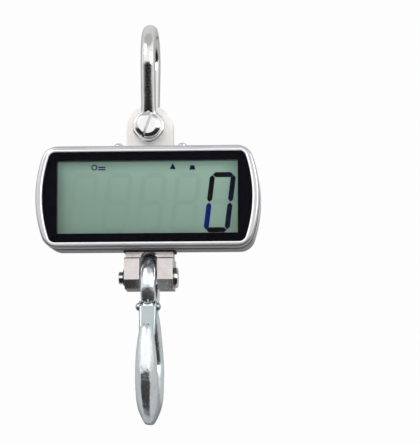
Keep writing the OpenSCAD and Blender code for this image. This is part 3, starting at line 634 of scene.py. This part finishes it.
def board_green():
    """Solder mask over copper tracks, with gold dots."""
    mask = (0.012, 0.10, 0.045)
    s = Surface("board_green")
    waves = s.add("ShaderNodeTexWave",
                  {"Vector": s.coords, "Scale": 260, "Distortion": 3.0, "Detail": 1.0},
                  wave_type="BANDS", bands_direction="X")
    tracks = s.remap(waves.outputs["Fac"], span=(0.55, 0.62))
    dots = s.remap(s.voronoi(330), span=(0.10, 0.14), to=(1, 0))
    color = s.mix(tracks, mask, tuple(c * 1.7 + 0.01 for c in mask))
    color = s.mix(dots, color, (0.75, 0.62, 0.30))
    s.shade(color, s.remap(s.noise(300), to=(0.25, 0.4)),
            s.bump(tracks, strength=0.3, distance=0.00004), metallic=s.times(dots, 0.9))


def make_materials():
    """Makes every material and gives each CAD node the one for its slot."""
    for name, look in METALS.items():
        metal(name, **look)
    for build in (shell_silver, trim_bright, cream_metal, window_clear, mask_black, lcd_green,
                  lcd_ink, lcd_ghost, cell_wrap, board_green):
        build()
    for name, look in PLASTICS.items():
        plastic(name, **look)
    for node, obj in NODES.items():
        slot = SLOTS[node]
        set_material(obj, {"zinc": "zinc_hook"}.get(slot, slot))


def set_material(obj, name):
    obj.data.materials.clear()
    obj.data.materials.append(MATERIALS[name])


# ---------------------------------------------------------------- standing for CAD nodes
def stand_for(obj, node):
    """Hides the node and puts the object on the node's body to stand in its place."""
    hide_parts(node)
    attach(obj, NODES[node]["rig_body"])


def finish(obj, node, material, sharp_degrees):
    set_material(obj, material)
    sharpen(obj, sharp_degrees)
    stand_for(obj, node)


def round_rim(bm, radius):
    """Rounds the housing's outer rim where the two halves meet."""
    def on_rim(vertex):
        x, z = abs(vertex.co.x), abs(vertex.co.z - HOUSING_Z)
        return (abs(vertex.co.y - PART_Y * MM) < 2e-5
                and (x > (HALF_W - 7) * MM or z > (HALF_H - 0.3) * MM)
                and (x / MM / HALF_W) ** 6 + (z / MM / HALF_H) ** 6 > 0.8)

    edges = [e for e in bm.edges if all(on_rim(v) for v in e.verts)
             and any(abs(f.normal.y) < 0.5 for f in e.link_faces)]
    bmesh.ops.bevel(bm, geom=edges, offset=radius * MM, segments=4, profile=0.5,
                    affect="EDGES", clamp_overlap=True)


def copy_node(node, material, width, segments, rim_radius=0.0):
    """A cleaned copy of a CAD node with its sharp edges broken by a bevel of some width."""
    bm = bmesh.new()
    bm.from_mesh(NODES[node].data)
    bmesh.ops.remove_doubles(bm, verts=bm.verts, dist=2e-6)
    bmesh.ops.dissolve_limit(bm, angle_limit=math.radians(0.6), verts=bm.verts, edges=bm.edges)
    bmesh.ops.recalc_face_normals(bm, faces=bm.faces)
    if rim_radius:
        round_rim(bm, rim_radius)
    copy = bmesh_object(node + "_finished", bm)
    set_material(copy, material)
    if width:
        bevel(copy, width, segments, min_degrees=32, arc_miter=True)
    sharpen(copy, 38)
    if width:
        weight_normals(copy, weight=80)
    stand_for(copy, node)


# ---------------------------------------------------------------- shackle and its pin
def shackle_stations(wire, bow_r, bow_z, foot_y):
    """(y, z, radius along X, radius in plane) up the front leg, over the bow, down the rear."""
    foot_z = SHACKLE_PIN_Z
    rise = bow_z - foot_z
    # the legs run in towards their feet, and meet the bow where it has turned by this angle
    lean = math.asin(bow_r / math.hypot(foot_y, rise)) - math.atan2(foot_y, rise)
    top_y, top_z = bow_r * math.cos(lean), bow_z - bow_r * math.sin(lean)
    leg = []
    for k in range(15):
        t = k / 14
        flare = (1 - min(1, t * 3.2)) ** 2     # wider across and thinner in plane near the foot
        leg.append((-foot_y + (foot_y - top_y) * t, foot_z + 3 + (top_z - foot_z - 3) * t,
                    wire / 2 + 1.1 * flare, wire / 2 - 0.6 * flare))
    bow = []
    for k in range(1, 48):
        a = math.pi + lean - (math.pi + 2 * lean) * k / 48
        bow.append((bow_r * math.cos(a), bow_z + bow_r * math.sin(a), wire / 2, wire / 2))
    return leg + bow + [(-y, *rest) for y, *rest in reversed(leg)]


def make_shackle():
    """Round wire bow melted into two disc ears, bored for the pin."""
    wire = 9.5
    bow_r = half_size("bow_shackle", "y") - wire / 2
    bow_z = (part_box("bow_shackle")[1].z - HOUSING_Z) / MM - wire / 2 - bow_r
    ear_y, ear_t, ear_r = 8.0, 8.0, half_size("bow_shackle", "x")   # inner face, thickness, radius
    rounding = 1.3
    bore_r, seat_r, seat_depth = 4.83, 8.75, 20

    stations = shackle_stations(wire, bow_r, bow_z, foot_y=ear_y + ear_t / 2)
    parts = [sweep("bow", stations, sides=48)]
    quarter = np.linspace(0, math.pi / 2, 6)
    rim_r = ear_r - rounding
    profile = [(0, 0)]
    profile += [(rim_r + rounding * math.sin(a), rounding - rounding * math.cos(a))
                for a in quarter]
    profile += [(rim_r + rounding * math.cos(a), ear_t - rounding + rounding * math.sin(a))
                for a in quarter]
    profile += [(0, ear_t)]
    for side in (-1, 1):
        origin = (0, side * ear_y, SHACKLE_PIN_Z)
        parts.append(revolve("ear", profile, origin, axis=(0, side, 0), steps=80))
    shackle = join_pieces("shackle_forged", parts)
    remesh(shackle, voxel=0.42, smoothing=14)

    cut(shackle, cylinder((0, 0, SHACKLE_PIN_Z), (0, 1, 0), bore_r, length=60, segments=72))
    # clear the space between the ears, then face the front ear flat
    cut(shackle, box((-14, 14), (-ear_y, ear_y), (SHACKLE_PIN_Z - 14, SHACKLE_PIN_Z + 12.2)))
    seat_y = -ear_y - ear_t - seat_depth / 2
    cut(shackle, cylinder((0, seat_y, SHACKLE_PIN_Z), (0, 1, 0), seat_r, seat_depth, segments=96))
    finish(shackle, "bow_shackle", "polished_steel", 50)


def make_pin():
    """Turned pin with a broad slotted head at the front."""
    low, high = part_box("shackle_pin")
    front, rear = low.y / MM, high.y / MM
    head_r, head_h = half_size("shackle_pin", "x"), 7.2
    seat = front + head_h
    shank = rear - seat
    crown_r = head_r - 2.7                     # slight dome in the middle of the head
    # (radius, height towards the front from the head's seat)
    profile = [
        (0, -shank), (3.9, -shank), (4.45, -shank + 0.25), (4.75, -shank + 0.8), (4.75, -0.05),
        (head_r - 0.5, 0.0), (head_r - 0.12, 0.12), (head_r, 0.5),
        (head_r, head_h - 1.75), (head_r - 0.06, head_h - 1.5), (head_r - 0.25, head_h - 1.28),
        (head_r - 2.2, head_h - 0.30), (head_r - 2.4, head_h - 0.19), (crown_r, head_h - 0.1)]
    profile += [(r, head_h - 0.1 + 0.1 * (1 - (r / crown_r) ** 2))
                for r in np.linspace(head_r - 3.1, 0.0, 12)]
    pin = revolve("shackle_pin_turned", profile, (0, seat, SHACKLE_PIN_Z), (0, -1, 0), steps=128)
    slot = box((-0.85, 0.85), (front - 2, front + 1.8), (SHACKLE_PIN_Z - 15, SHACKLE_PIN_Z + 15),
               turn=20, pivot_z=SHACKLE_PIN_Z)
    cut(pin, slot)
    sharpen(pin, 34)
    bevel(pin, width=0.14, segments=2, min_degrees=50)
    finish(pin, "shackle_pin", "pin_steel", 34)


# ---------------------------------------------------------------- battery door
def round_rect(half_w, half_h, radius, steps=8):
    """Rounded rectangle about the centre."""
    w, h = half_w - radius, half_h - radius
    points = []
    for x, z, start in ((w, h, 0), (-w, h, 0.5), (-w, -h, 1), (w, -h, 1.5)):
        angles = [math.pi * (start + 0.5 * k / steps) for k in range(steps + 1)]
        points += [(x + radius * math.cos(a), z + radius * math.sin(a)) for a in angles]
    return points


def door_plate(center_x, center_z, face_y):
    """Rounded plate with a groove inside its rim and two stepped screw holes."""
    half_w, half_h = half_size("battery_door", "x"), half_size("battery_door", "z")
    # (inset from the outline, depth below the face)
    steps = [(0.02, 1.25), (0.0, 0.32), (0.1, 0.1), (0.32, 0), (2.4, 0), (2.55, 0.12),
             (2.65, 0.28), (2.95, 0.28), (3.05, 0.12), (3.2, 0)]
    steps += [(3.25 + k * 3.6, 0) for k in range(1, 6)]
    rings = []
    for inset, depth in steps:
        outline = round_rect(half_w - inset, half_h - inset, max(4.0 - inset, 0.6))
        rings.append([(center_x + x, face_y - depth, center_z + z) for x, z in outline])
    plate = ring_piece("plate", rings)
    for side in (-1, 1):
        center = (center_x, face_y, center_z + side * 24.2)
        cut(plate, cylinder(center, (0, 1, 0), radius=2.3, length=1.4, segments=40))
        cut(plate, cylinder(center, (0, 1, 0), radius=1.3, length=8, segments=32))
    return plate


def door_bar(center_x, z, half_w, face_y):
    """Low raised bar along X, tapering at its ends."""
    rings = []
    for k in range(15):
        x = center_x - half_w + 2 * half_w * k / 14
        fullness = math.sqrt(max(0.0, 1 - ((k - 7) / 7.0) ** 4))
        arch = [(x, face_y - 0.3 + (0.12 + 0.16 * fullness) * math.sin(math.pi * j / 8) + 0.28,
                 z + 0.45 * fullness * math.cos(math.pi * j / 8)) for j in range(9)]
        rings.append(arch + [(x, face_y - 0.3, z)])
    return ring_piece("bar", rings)


def make_door():
    """Plate with six raised bars outside and three upright ribs inside."""
    low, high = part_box("battery_door")
    center_x, center_z = (low.x + high.x) / 2 / MM, middle_z("battery_door")
    face_y = high.y / MM
    parts = [door_plate(center_x, center_z, face_y)]
    for k in range(6):
        parts.append(door_bar(center_x, center_z - 9.0 - 1.9 * k, 8.5 - 0.55 * k, face_y))
    for offset in (-9.4, 0, 9.4):
        x = center_x + offset
        parts.append(box((x - 3.5, x + 3.5), (face_y - 2.4, face_y - 1.2),
                         (center_z - 18, center_z + 18)))
    door = join_pieces("battery_door_moulded", parts)
    set_material(door, "plastic_grey")
    sharpen(door, 40)
    weight_normals(door)
    stand_for(door, "battery_door")


# ---------------------------------------------------------------- hook and latch
HOOK_TOP = 48.8                                # clevis pin's depth below the housing's centre
                                               # for which HOOK_STATIONS are given
HOOK_STATIONS = [                              # y, z, depth in the YZ plane, thickness along X
    (1, -65.5, 21, 8.6), (5, -76, 17, 12), (11.5, -86, 17, 13.4), (18, -96, 18, 14.2),
    (20.4, -106, 19.6, 14.8), (17.6, -117, 22, 15.1), (9.6, -125.9, 24.2, 15.4),
    (-2, -129.7, 25, 15.4), (-13.6, -127, 23.6, 15), (-23.1, -119.9, 20.6, 14.6),
    (-28.2, -109.8, 16.9, 14.0), (-29.8, -99.8, 12.9, 12.9), (-29.6, -91, 10.2, 11),
    (-29.2, -84.4, 7.6, 8.8), (-28.85, -81.2, 5.0, 6.4), (-28.8, -80.3, 3.0, 4.2)]
HOOK_SECTION = [                               # half the section, from its outer to its inner edge:
    (1, 0), (0.99, 0.22), (0.93, 0.38), (0.6, 0.67), (0.22, 0.91),   # share of half the depth,
    (-0.12, 1), (-0.5, 0.97), (-0.8, 0.76), (-0.95, 0.42), (-1, 0)]  # share of half the thickness


def hook_body():
    """The curved horn, swept through its stations."""
    drop = CLEVIS_PIN_Z + HOOK_TOP
    around = HOOK_SECTION + [(a, -b) for a, b in HOOK_SECTION[-2:0:-1]]
    # the loop overlaps itself to be smooth at its start; the slice drops the overlap
    # and the last four points before it
    section = spline(around[-2:] + around + around[:2], steps=3)[6:-8]
    stations = spline(HOOK_STATIONS, steps=7)
    rings = []
    for i, (y, z, depth, thickness) in enumerate(stations):
        before, after = stations[max(i - 1, 0)], stations[min(i + 1, len(stations) - 1)]
        along = np.array((after[0] - before[0], after[1] - before[1]))
        along /= np.linalg.norm(along)
        outward = np.array((-along[1], along[0]))
        rings.append([(thickness / 2 * q, y + outward[0] * depth / 2 * p,
                       z + drop + outward[1] * depth / 2 * p) for p, q in section])
    return ring_piece("horn", rings)


def make_hook():
    """Cast hook: horn, eye ring round the clevis pin, and a boss for the latch rivet."""
    eye_inner, eye_outer, eye_t = 9.6, 21.0, 9.2
    eye_bar_r = 5.75                           # round bar of the eye, flattened to eye_t
    eye_z = CLEVIS_PIN_Z + 4.05 - eye_inner
    eye_mid = (eye_inner + eye_outer) / 2
    profile = []
    for k in range(28):
        a = 2 * math.pi * k / 28
        height = max(-eye_t / 2, min(eye_t / 2, eye_bar_r * math.sin(a)))
        profile.append((eye_mid + eye_bar_r * math.cos(a), height))
    body = hook_body()
    ring = revolve("eye", profile, (0, 0, eye_z), (1, 0, 0), steps=110)
    boss = cylinder((0, RIVET_Y, RIVET_Z), (1, 0, 0), radius=3.0, length=6.4, segments=40)
    hook = join_pieces("hook_forged", [body, ring, boss])
    remesh(hook, voxel=0.5, smoothing=8)
    # the eye stays true where it turns in the clevis
    calm = dict(calm_center=at(0, 0, eye_z), calm_radius=22.0)
    roughen(hook, amplitude=0.10, scale=95.0, seed=3.1, **calm)
    roughen(hook, amplitude=0.035, scale=420.0, seed=7.7, **calm)
    for x in (-5.7, 5.7):                      # flats beside the boss
        cut(hook, cylinder((x, RIVET_Y, RIVET_Z), (1, 0, 0), radius=3.5, length=5.0, segments=48))
    finish(hook, "eye_hook", "zinc_hook", 60)


def latch_section(depth_share, edge_y, inner_half, sheet):
    """U section of (x, y), open to +Y, with its side walls ending at edge_y."""
    narrow = 1.0 - 0.10 * depth_share
    outer_w, inner_w = (inner_half + sheet) * narrow, inner_half * narrow
    outer_r = 1.5
    inner_r = outer_r - sheet + 0.05
    outer_y, inner_y = -4.6 + outer_r, -3.6 + inner_r      # centres of the corner radii
    quarter = np.linspace(0, math.pi / 2, 6)
    points = [(-outer_w, edge_y)]
    points += [(-outer_w + outer_r - outer_r * math.cos(a), outer_y - outer_r * math.sin(a))
               for a in quarter]
    points += [(outer_w - outer_r + outer_r * math.sin(a), outer_y - outer_r * math.cos(a))
               for a in quarter]
    points += [(outer_w, edge_y), (inner_w, edge_y)]
    points += [(inner_w - inner_r + inner_r * math.cos(a), inner_y - inner_r * math.sin(a))
               for a in quarter]
    points += [(-inner_w + inner_r - inner_r * math.sin(a), inner_y - inner_r * math.cos(a))
               for a in quarter]
    points += [(-inner_w, edge_y)]
    return points


def make_latch():
    """Sheet channel hung on the rivet, with walls that taper and step down near the tip."""
    length, tip = 24.0, 5
    inner_half, sheet = 4.65, 0.9
    lean = math.radians(14)                    # closed, it leans to -Y, towards the hook's point
    c, s = math.cos(-lean), math.sin(-lean)

    def place(x, y, z):
        """From the latch's own axes, with -Z along it, to the housing's."""
        return (x, RIVET_Y + y * c - z * s, RIVET_Z + y * s + z * c)

    rings = []
    for k in range(37):
        z = -0.8 - (length - 0.8) * k / 36
        depth_share = -z / length
        if z > -length + tip:
            edge_y = 3.2 - 4.6 * depth_share / ((length - tip) / length)
        else:
            edge_y = -1.4 - 2.1 * min(1.0, (-z - (length - tip)) / 1.4)
        rings.append([place(x, y, z)
                      for x, y in latch_section(depth_share, edge_y, inner_half, sheet)])
    parts = [ring_piece("channel", rings)]
    for side in (-1, 1):
        center = place(side * (inner_half + sheet / 2), 0, 0)
        parts.append(cylinder(center, (1, 0, 0), radius=3.6, length=sheet, segments=48))
    latch = join_pieces("latch_pressed", parts)
    remesh(latch, voxel=0.26, smoothing=3)
    cut(latch, cylinder((0, RIVET_Y, RIVET_Z), (1, 0, 0), radius=1.65, length=30, segments=40))
    finish(latch, "hook_latch", "zinc_sheet", 60)


# ---------------------------------------------------------------- housing front and window
def bowed_outline(half_w, half_h, side_r, corner_r, inset, side_steps=56, corner_steps=18):
    """Outline with bowed sides, round corners and straight top and bottom, shrunk by the inset."""
    side_x, corner_z = half_w - side_r, half_h - corner_r
    corner_x = side_x + math.sqrt((side_r - corner_r) ** 2 - corner_z * corner_z)
    turn = math.atan2(corner_z, corner_x - side_x)     # where side and corner meet
    side, corner = side_r - inset, corner_r - inset
    quarter = math.pi / 2
    skip = (quarter - turn) * (1.0 / corner_steps)     # keeps the shared point from doubling

    def arc(x, z, radius, start, end, steps):
        angles = [start + (end - start) * i / steps for i in range(steps + 1)]
        return [(x + radius * math.cos(a), z + radius * math.sin(a)) for a in angles]

    top = [(corner_x + (-2 * corner_x) * k / 20, corner_z + corner) for k in range(1, 20)]
    points = arc(side_x, 0, side, -turn, turn, side_steps)
    points += arc(corner_x, corner_z, corner, turn + skip, quarter, corner_steps)
    points += top
    points += arc(-corner_x, corner_z, corner, quarter, math.pi - turn - skip, corner_steps)
    points += arc(-side_x, 0, side, math.pi - turn, math.pi + turn, side_steps)
    points += arc(-corner_x, -corner_z, corner, math.pi + turn + skip, 3 * quarter, corner_steps)
    points += [(-x, -z) for x, z in top]
    points += arc(corner_x, -corner_z, corner, 3 * quarter, 4 * quarter - turn - skip,
                  corner_steps)
    return points


def housing_ring(inset, y):
    outline = bowed_outline(HALF_W, HALF_H, SIDE_R, CORNER_R, inset)
    return [(x, y, z) for x, z in outline]


def window_ring(inset, y):
    outline = bowed_outline(WINDOW_HALF_W, WINDOW_HALF_H, WINDOW_SIDE_R, WINDOW_CORNER_R, inset)
    return [(x, y, z) for x, z in outline]


def make_front_shell():
    """From the window opening over the face and sides, and back inside to the window's ledge."""
    ledge_y = MASK_Y + 1.25
    opening = -TRIM_W - TRIM_GAP
    rings = [window_ring(opening, FRONT_Y + 0.25), window_ring(opening - 0.08, FRONT_Y + 0.07),
             window_ring(opening - 0.25, FRONT_Y), housing_ring(EDGE_R + 0.25, FRONT_Y)]
    for a in np.linspace(0.0, math.pi / 2, 9)[1:]:
        rings.append(housing_ring(EDGE_R * (1 - math.sin(a)),
                                  FRONT_Y + EDGE_R * (1 - math.cos(a))))
    # the sides draw in slightly towards the parting line
    side_ys = np.linspace(FRONT_Y + EDGE_R + 1.0, PART_Y - 0.4, 9)
    depth = side_ys[-1] - side_ys[0]
    rings += [housing_ring(0.8 * ((y - side_ys[0]) / depth) ** 1.4, y) for y in side_ys]
    # (inset, distance in front of the parting line)
    for inset, ahead in ((0.88, 0.22), (1.0, 0.1), (1.15, 0.04), (WALL, 0.04)):
        rings.append(housing_ring(inset, PART_Y - ahead))
    rings += [housing_ring(WALL, ledge_y + 1.6), window_ring(3, ledge_y + 1.6),
              window_ring(3, ledge_y), window_ring(opening, ledge_y)]
    finish(ring_piece("front_shell_cast", rings, loop=True), "front_shell", "shell_silver", 40)


def make_trim():
    """Bead with a rounded front in the gap round the window."""
    half = (TRIM_W - TRIM_GAP) / 2
    middle = -(TRIM_W + TRIM_GAP) / 2
    nose = 0.55
    rings = [window_ring(middle - half * math.cos(a), TRIM_Y + nose - nose * math.sin(a))
             for a in np.linspace(0, math.pi, 11)]
    rings += [window_ring(middle + side * half, MASK_Y + 1.1) for side in (1, -1)]
    finish(ring_piece("trim_bead", rings, loop=True), "window_trim", "trim_bright", 50)


def make_lens():
    low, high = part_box("window_lens")
    front, rear = low.y / MM, high.y / MM
    rings = [window_ring(0.25, front), window_ring(0.06, front + 0.06),
             window_ring(0.02, front + 0.22), window_ring(0.02, rear - 0.05)]
    finish(ring_piece("lens_cover", rings), "window_lens", "window_clear", 40)


def bar_outline(center, start, end):
    """Pointed bar between two points of a digit, slanted and set at the digit's centre."""
    a, b = (np.array((x + DIGIT_SLANT * z, z)) for x, z in (start, end))
    length = np.linalg.norm(b - a)
    along = (b - a) / length
    across = np.array((-along[1], along[0]))
    middle = (a + b) / 2
    half_l, half_w = (length - 0.5) / 2, (BAR_W - 0.15) / 2
    outline = []
    for s, r in ((-half_l, 0), (-half_l + half_w, half_w), (half_l - half_w, half_w),
                 (half_l, 0), (half_l - half_w, -half_w), (-half_l + half_w, -half_w)):
        point = middle + along * s + across * r
        outline.append((center[0] + point[0], center[1] + point[1]))
    return outline


def make_unlit_bars():
    """Faint unlit bars: the middle one of the right-hand digit, all of the other four."""
    half_w, half_h = (DIGIT_W - BAR_W) / 2, (DIGIT_H - BAR_W) / 2
    center_z = (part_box("lcd_segments")[0].z - HOUSING_Z) / MM + DIGIT_H / 2
    dot_r = 0.9
    outlines = []
    for k in range(DIGIT_COUNT):
        center = (DIGIT_X - DIGIT_PITCH * k, center_z)
        bars = [((-half_w, 0), (half_w, 0))]
        if k:
            bars += [((-half_w, z), (half_w, z)) for z in (half_h, -half_h)]
            for x in (-half_w, half_w):
                bars += [((x, -half_h), (x, 0)), ((x, 0), (x, half_h))]
        outlines += [bar_outline(center, start, end) for start, end in bars]
        if k:                                  # decimal dot at the digit's lower right
            dot_x = center[0] + half_w + BAR_W / 2 + 1.3 - DIGIT_SLANT * half_h
            dot_z = center_z - half_h - 0.6
            outlines.append([(dot_x + dot_r * math.cos(a), dot_z + dot_r * math.sin(a))
                             for a in np.linspace(0, 2 * math.pi, 17)[:-1]])
    points, faces = [], []
    for outline in outlines:
        first, n = len(points), len(outline)
        points += [(x, y, z) for y in (GLASS_Y - 0.03, GLASS_Y + 0.01) for x, z in outline]
        faces.append(tuple(first + i for i in range(n)))
        faces.append(tuple(first + n + i for i in range(n))[::-1])
        for i in range(n):
            j = (i + 1) % n
            faces.append((first + i, first + n + i, first + n + j, first + j))
    bars = new_piece("lcd_unlit_bars", points, faces, smooth=False)
    set_material(bars, "lcd_ghost")
    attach(bars, NODES["lcd_glass"]["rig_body"])


# ---------------------------------------------------------------- all the pieces
COPIES = {                                     # node: material, bevel width, bevel segments
    "suspension_lug": ("cream_metal", 0.55, 3),
    "housing_top_screws": ("bright_steel", 0.10, 2),
    "hook_clevis": ("nickel", 0.35, 3),
    "clevis_pin": ("pin_steel", 0.2, 2),
    "pin_retaining_clip": ("dark_steel", 0.12, 2),
    "latch_rivet": ("zinc_sheet", 0.0, 1),
    "rear_cover": ("shell_silver", 0.3, 2),
    "battery_door_screws": ("bright_steel", 0.1, 2),
    "power_button": ("plastic_red", 0.35, 3),
    "zero_button": ("plastic_grey", 0.35, 3),
    "hold_button": ("plastic_grey", 0.35, 3),
    "rear_cover_screws": ("dark_steel", 0.1, 2),
    "top_neck_seal": ("rubber_black", 0.2, 2),
    "bottom_neck_seal": ("rubber_black", 0.25, 2),
    "latch_spring": ("spring_steel", 0.0, 1),
    "window_mask": ("mask_black", 0.08, 1),
}


def make_pieces():
    for build in (make_shackle, make_pin, make_door, make_hook, make_latch, make_front_shell,
                  make_trim, make_lens, make_unlit_bars):
        build()
    for node, (material, width, segments) in COPIES.items():
        rim_radius = 0.75 if node == "rear_cover" else 0.0
        copy_node(node, material, width, segments, rim_radius)


# ---------------------------------------------------------------- studio, in metres and degrees
CAM_AZIMUTH, CAM_ELEVATION, CAM_DISTANCE = 5.0, -7.2, 2.0
CAM_SENSOR = 36                                # millimetres
VIEW_HEIGHT = 0.28194                          # seen by the camera at the load line
AIM_RIGHT, AIM_DOWN = 0.0379095, 0.0130175     # aim's offset from the housing's centre
FLOOR_DROP = 0.012                             # floor below the camera


def world():
    """A soft-box room seen only by light and reflections, with a plain pale backdrop."""
    new_world = bpy.data.worlds.new("studio")
    bpy.context.scene.world = new_world
    new_world.use_nodes = True
    g = Graph(new_world.node_tree)
    generated = g.add("ShaderNodeTexCoord").outputs["Generated"]
    unit = g.add("ShaderNodeVectorMath", {0: generated}, operation="NORMALIZE")
    x, y, z = g.add("ShaderNodeSeparateXYZ", {0: unit.outputs[0]}).outputs
    # degrees above the horizon, and degrees from the front towards +X
    elevation = g.times(g.math("ARCSINE", z, 0.0), 180 / math.pi)
    azimuth = g.times(g.math("ARCTAN2", x, g.times(y, -1.0)), 180 / math.pi)
    off_front = g.math("ABSOLUTE", azimuth, 0.0)

    def ease(value, span, to=(0.0, 1.0)):
        return g.remap(value, span, to, smooth=True)

    def band(value, start, end, soft):
        """1 from start to end, falling to 0 over soft degrees outside."""
        return g.times(ease(value, (start - soft, start)),
                       ease(value, (end, end + soft), (1.0, 0.0)))

    def dim(light, mask, depth):
        return g.times(light, g.math("SUBTRACT", 1.0, g.times(mask, depth)))

    front = ease(off_front, (84, 116), (1.0, 0.0))
    ceiling = ease(elevation, (30, 50), (1.0, 0.50))       # darker above the soft boxes
    # bright front wall on a dark lower room
    front_wall = g.times(ease(elevation, (-11, 0), (0.02, 1.06)), ceiling)
    back_wall = g.times(ease(elevation, (-88, -40), (0.05, 0.50)),
                        ease(elevation, (12, 42), (1.0, 1.45)))
    light = g.math("ADD", g.times(front_wall, front),
                   g.times(back_wall, g.math("SUBTRACT", 1.0, front)))
    for start, end in ((52, 60), (-72, -64)):              # gaps between the soft boxes
        gap = g.times(band(azimuth, start, end, soft=6), band(elevation, -4, 24, soft=8))
        light = dim(light, gap, depth=0.35)
    # low dark strip right behind
    strip = g.times(ease(off_front, (146, 164)), band(elevation, -30, -1, soft=6))
    light = dim(light, strip, depth=0.62)

    room = g.add("ShaderNodeCombineColor", {0: light, 1: light, 2: light}).outputs[0]
    to_camera = g.times(g.add("ShaderNodeLightPath").outputs["Is Camera Ray"], 1.0)
    color = g.mix(to_camera, room, (0.985, 0.985, 0.985))
    background = g.add("ShaderNodeBackground", {"Color": color})
    g.add("ShaderNodeOutputWorld", {"Surface": background.outputs[0]})


def area_light(name, offset, size, power):
    """A square light, placed from the housing's centre and turned to it."""
    light = bpy.data.lights.new(name, "AREA")
    light.shape, light.size, light.size_y = "RECTANGLE", size, size
    light.energy = power
    obj = bpy.data.objects.new(name, light)
    x, y, height = offset
    obj.location = (x, y, HOUSING_Z + height)
    obj.rotation_mode = "QUATERNION"
    toward = Vector((0, 0, HOUSING_Z)) - Vector((x, y, HOUSING_Z + height))
    obj.rotation_quaternion = toward.to_track_quat("-Z", "Y")
    bpy.context.scene.collection.objects.link(obj)
    return obj


def lights():
    area_light("key_light", offset=(-0.75, -0.85, 0.75), size=0.7, power=5.2)
    area_light("fill_light", offset=(0.95, -0.75, 0.25), size=0.6, power=4.0)
    back = area_light("back_light", offset=(0.1, 0.9, 0.8), size=0.8, power=2.0)
    back.visible_glossy = False


def floor():
    """Wide pale disc just below the camera, a little brighter when seen directly."""
    s = Surface("studio_floor")
    color = s.mix(s.remap(s.noise(14)), (0.83, 0.83, 0.83), (0.86, 0.86, 0.86))
    glow = s.times(s.add("ShaderNodeLightPath").outputs["Is Camera Ray"], 0.30)
    s.shade(color, 0.7, s.bump(s.noise(300), strength=0.05, distance=0.0002),
            specular=0.2, emission=(1, 1, 1), strength=glow)

    floor_z = HOUSING_Z - CAM_DISTANCE * math.sin(math.radians(-CAM_ELEVATION)) - FLOOR_DROP
    radii, sides = [0.3, 0.8, 2, 5, 12], 96
    angles = [2 * math.pi * k / sides for k in range(sides)]
    points = [(0, 0, floor_z)]
    points += [(r * math.cos(a), r * math.sin(a), floor_z) for r in radii for a in angles]
    faces = []
    for k in range(sides):
        after = (k + 1) % sides
        faces.append((0, 1 + k, 1 + after))
        for i in range(len(radii) - 1):
            a, b = 1 + i * sides, 1 + (i + 1) * sides
            faces.append((a + k, b + k, b + after, a + after))
    disc = mesh_object("studio_floor", points, faces)
    disc.data.materials.append(s.material)
    disc.visible_glossy = False


def camera():
    """Looks up slightly from below and a little to the right of the front."""
    data = bpy.data.cameras.new("camera")
    data.sensor_width = CAM_SENSOR
    data.lens = CAM_SENSOR * CAM_DISTANCE / VIEW_HEIGHT
    data.clip_start, data.clip_end = 0.05, 60
    obj = link_object("camera", data)
    azimuth, elevation = math.radians(CAM_AZIMUTH), math.radians(CAM_ELEVATION)
    back = Vector((math.sin(azimuth) * math.cos(elevation),
                   -math.cos(azimuth) * math.cos(elevation), math.sin(elevation)))
    right = Vector((math.cos(azimuth), math.sin(azimuth), 0))
    center = Vector((0, 0, HOUSING_Z))
    aim = center + right * AIM_RIGHT - back.cross(right) * AIM_DOWN
    obj.location = center + back * CAM_DISTANCE
    forward = (aim - obj.location).normalized()
    side = forward.cross(Vector((0, 0, 1))).normalized()
    axes = Matrix((side, side.cross(forward), -forward)).transposed()
    obj.rotation_mode = "QUATERNION"
    obj.rotation_quaternion = axes.to_quaternion()
    bpy.context.scene.camera = obj


make_materials()
make_pieces()
world()
lights()
floor()
camera()
view = bpy.context.scene.view_settings
view.view_transform = "Standard"
view.look = "None"
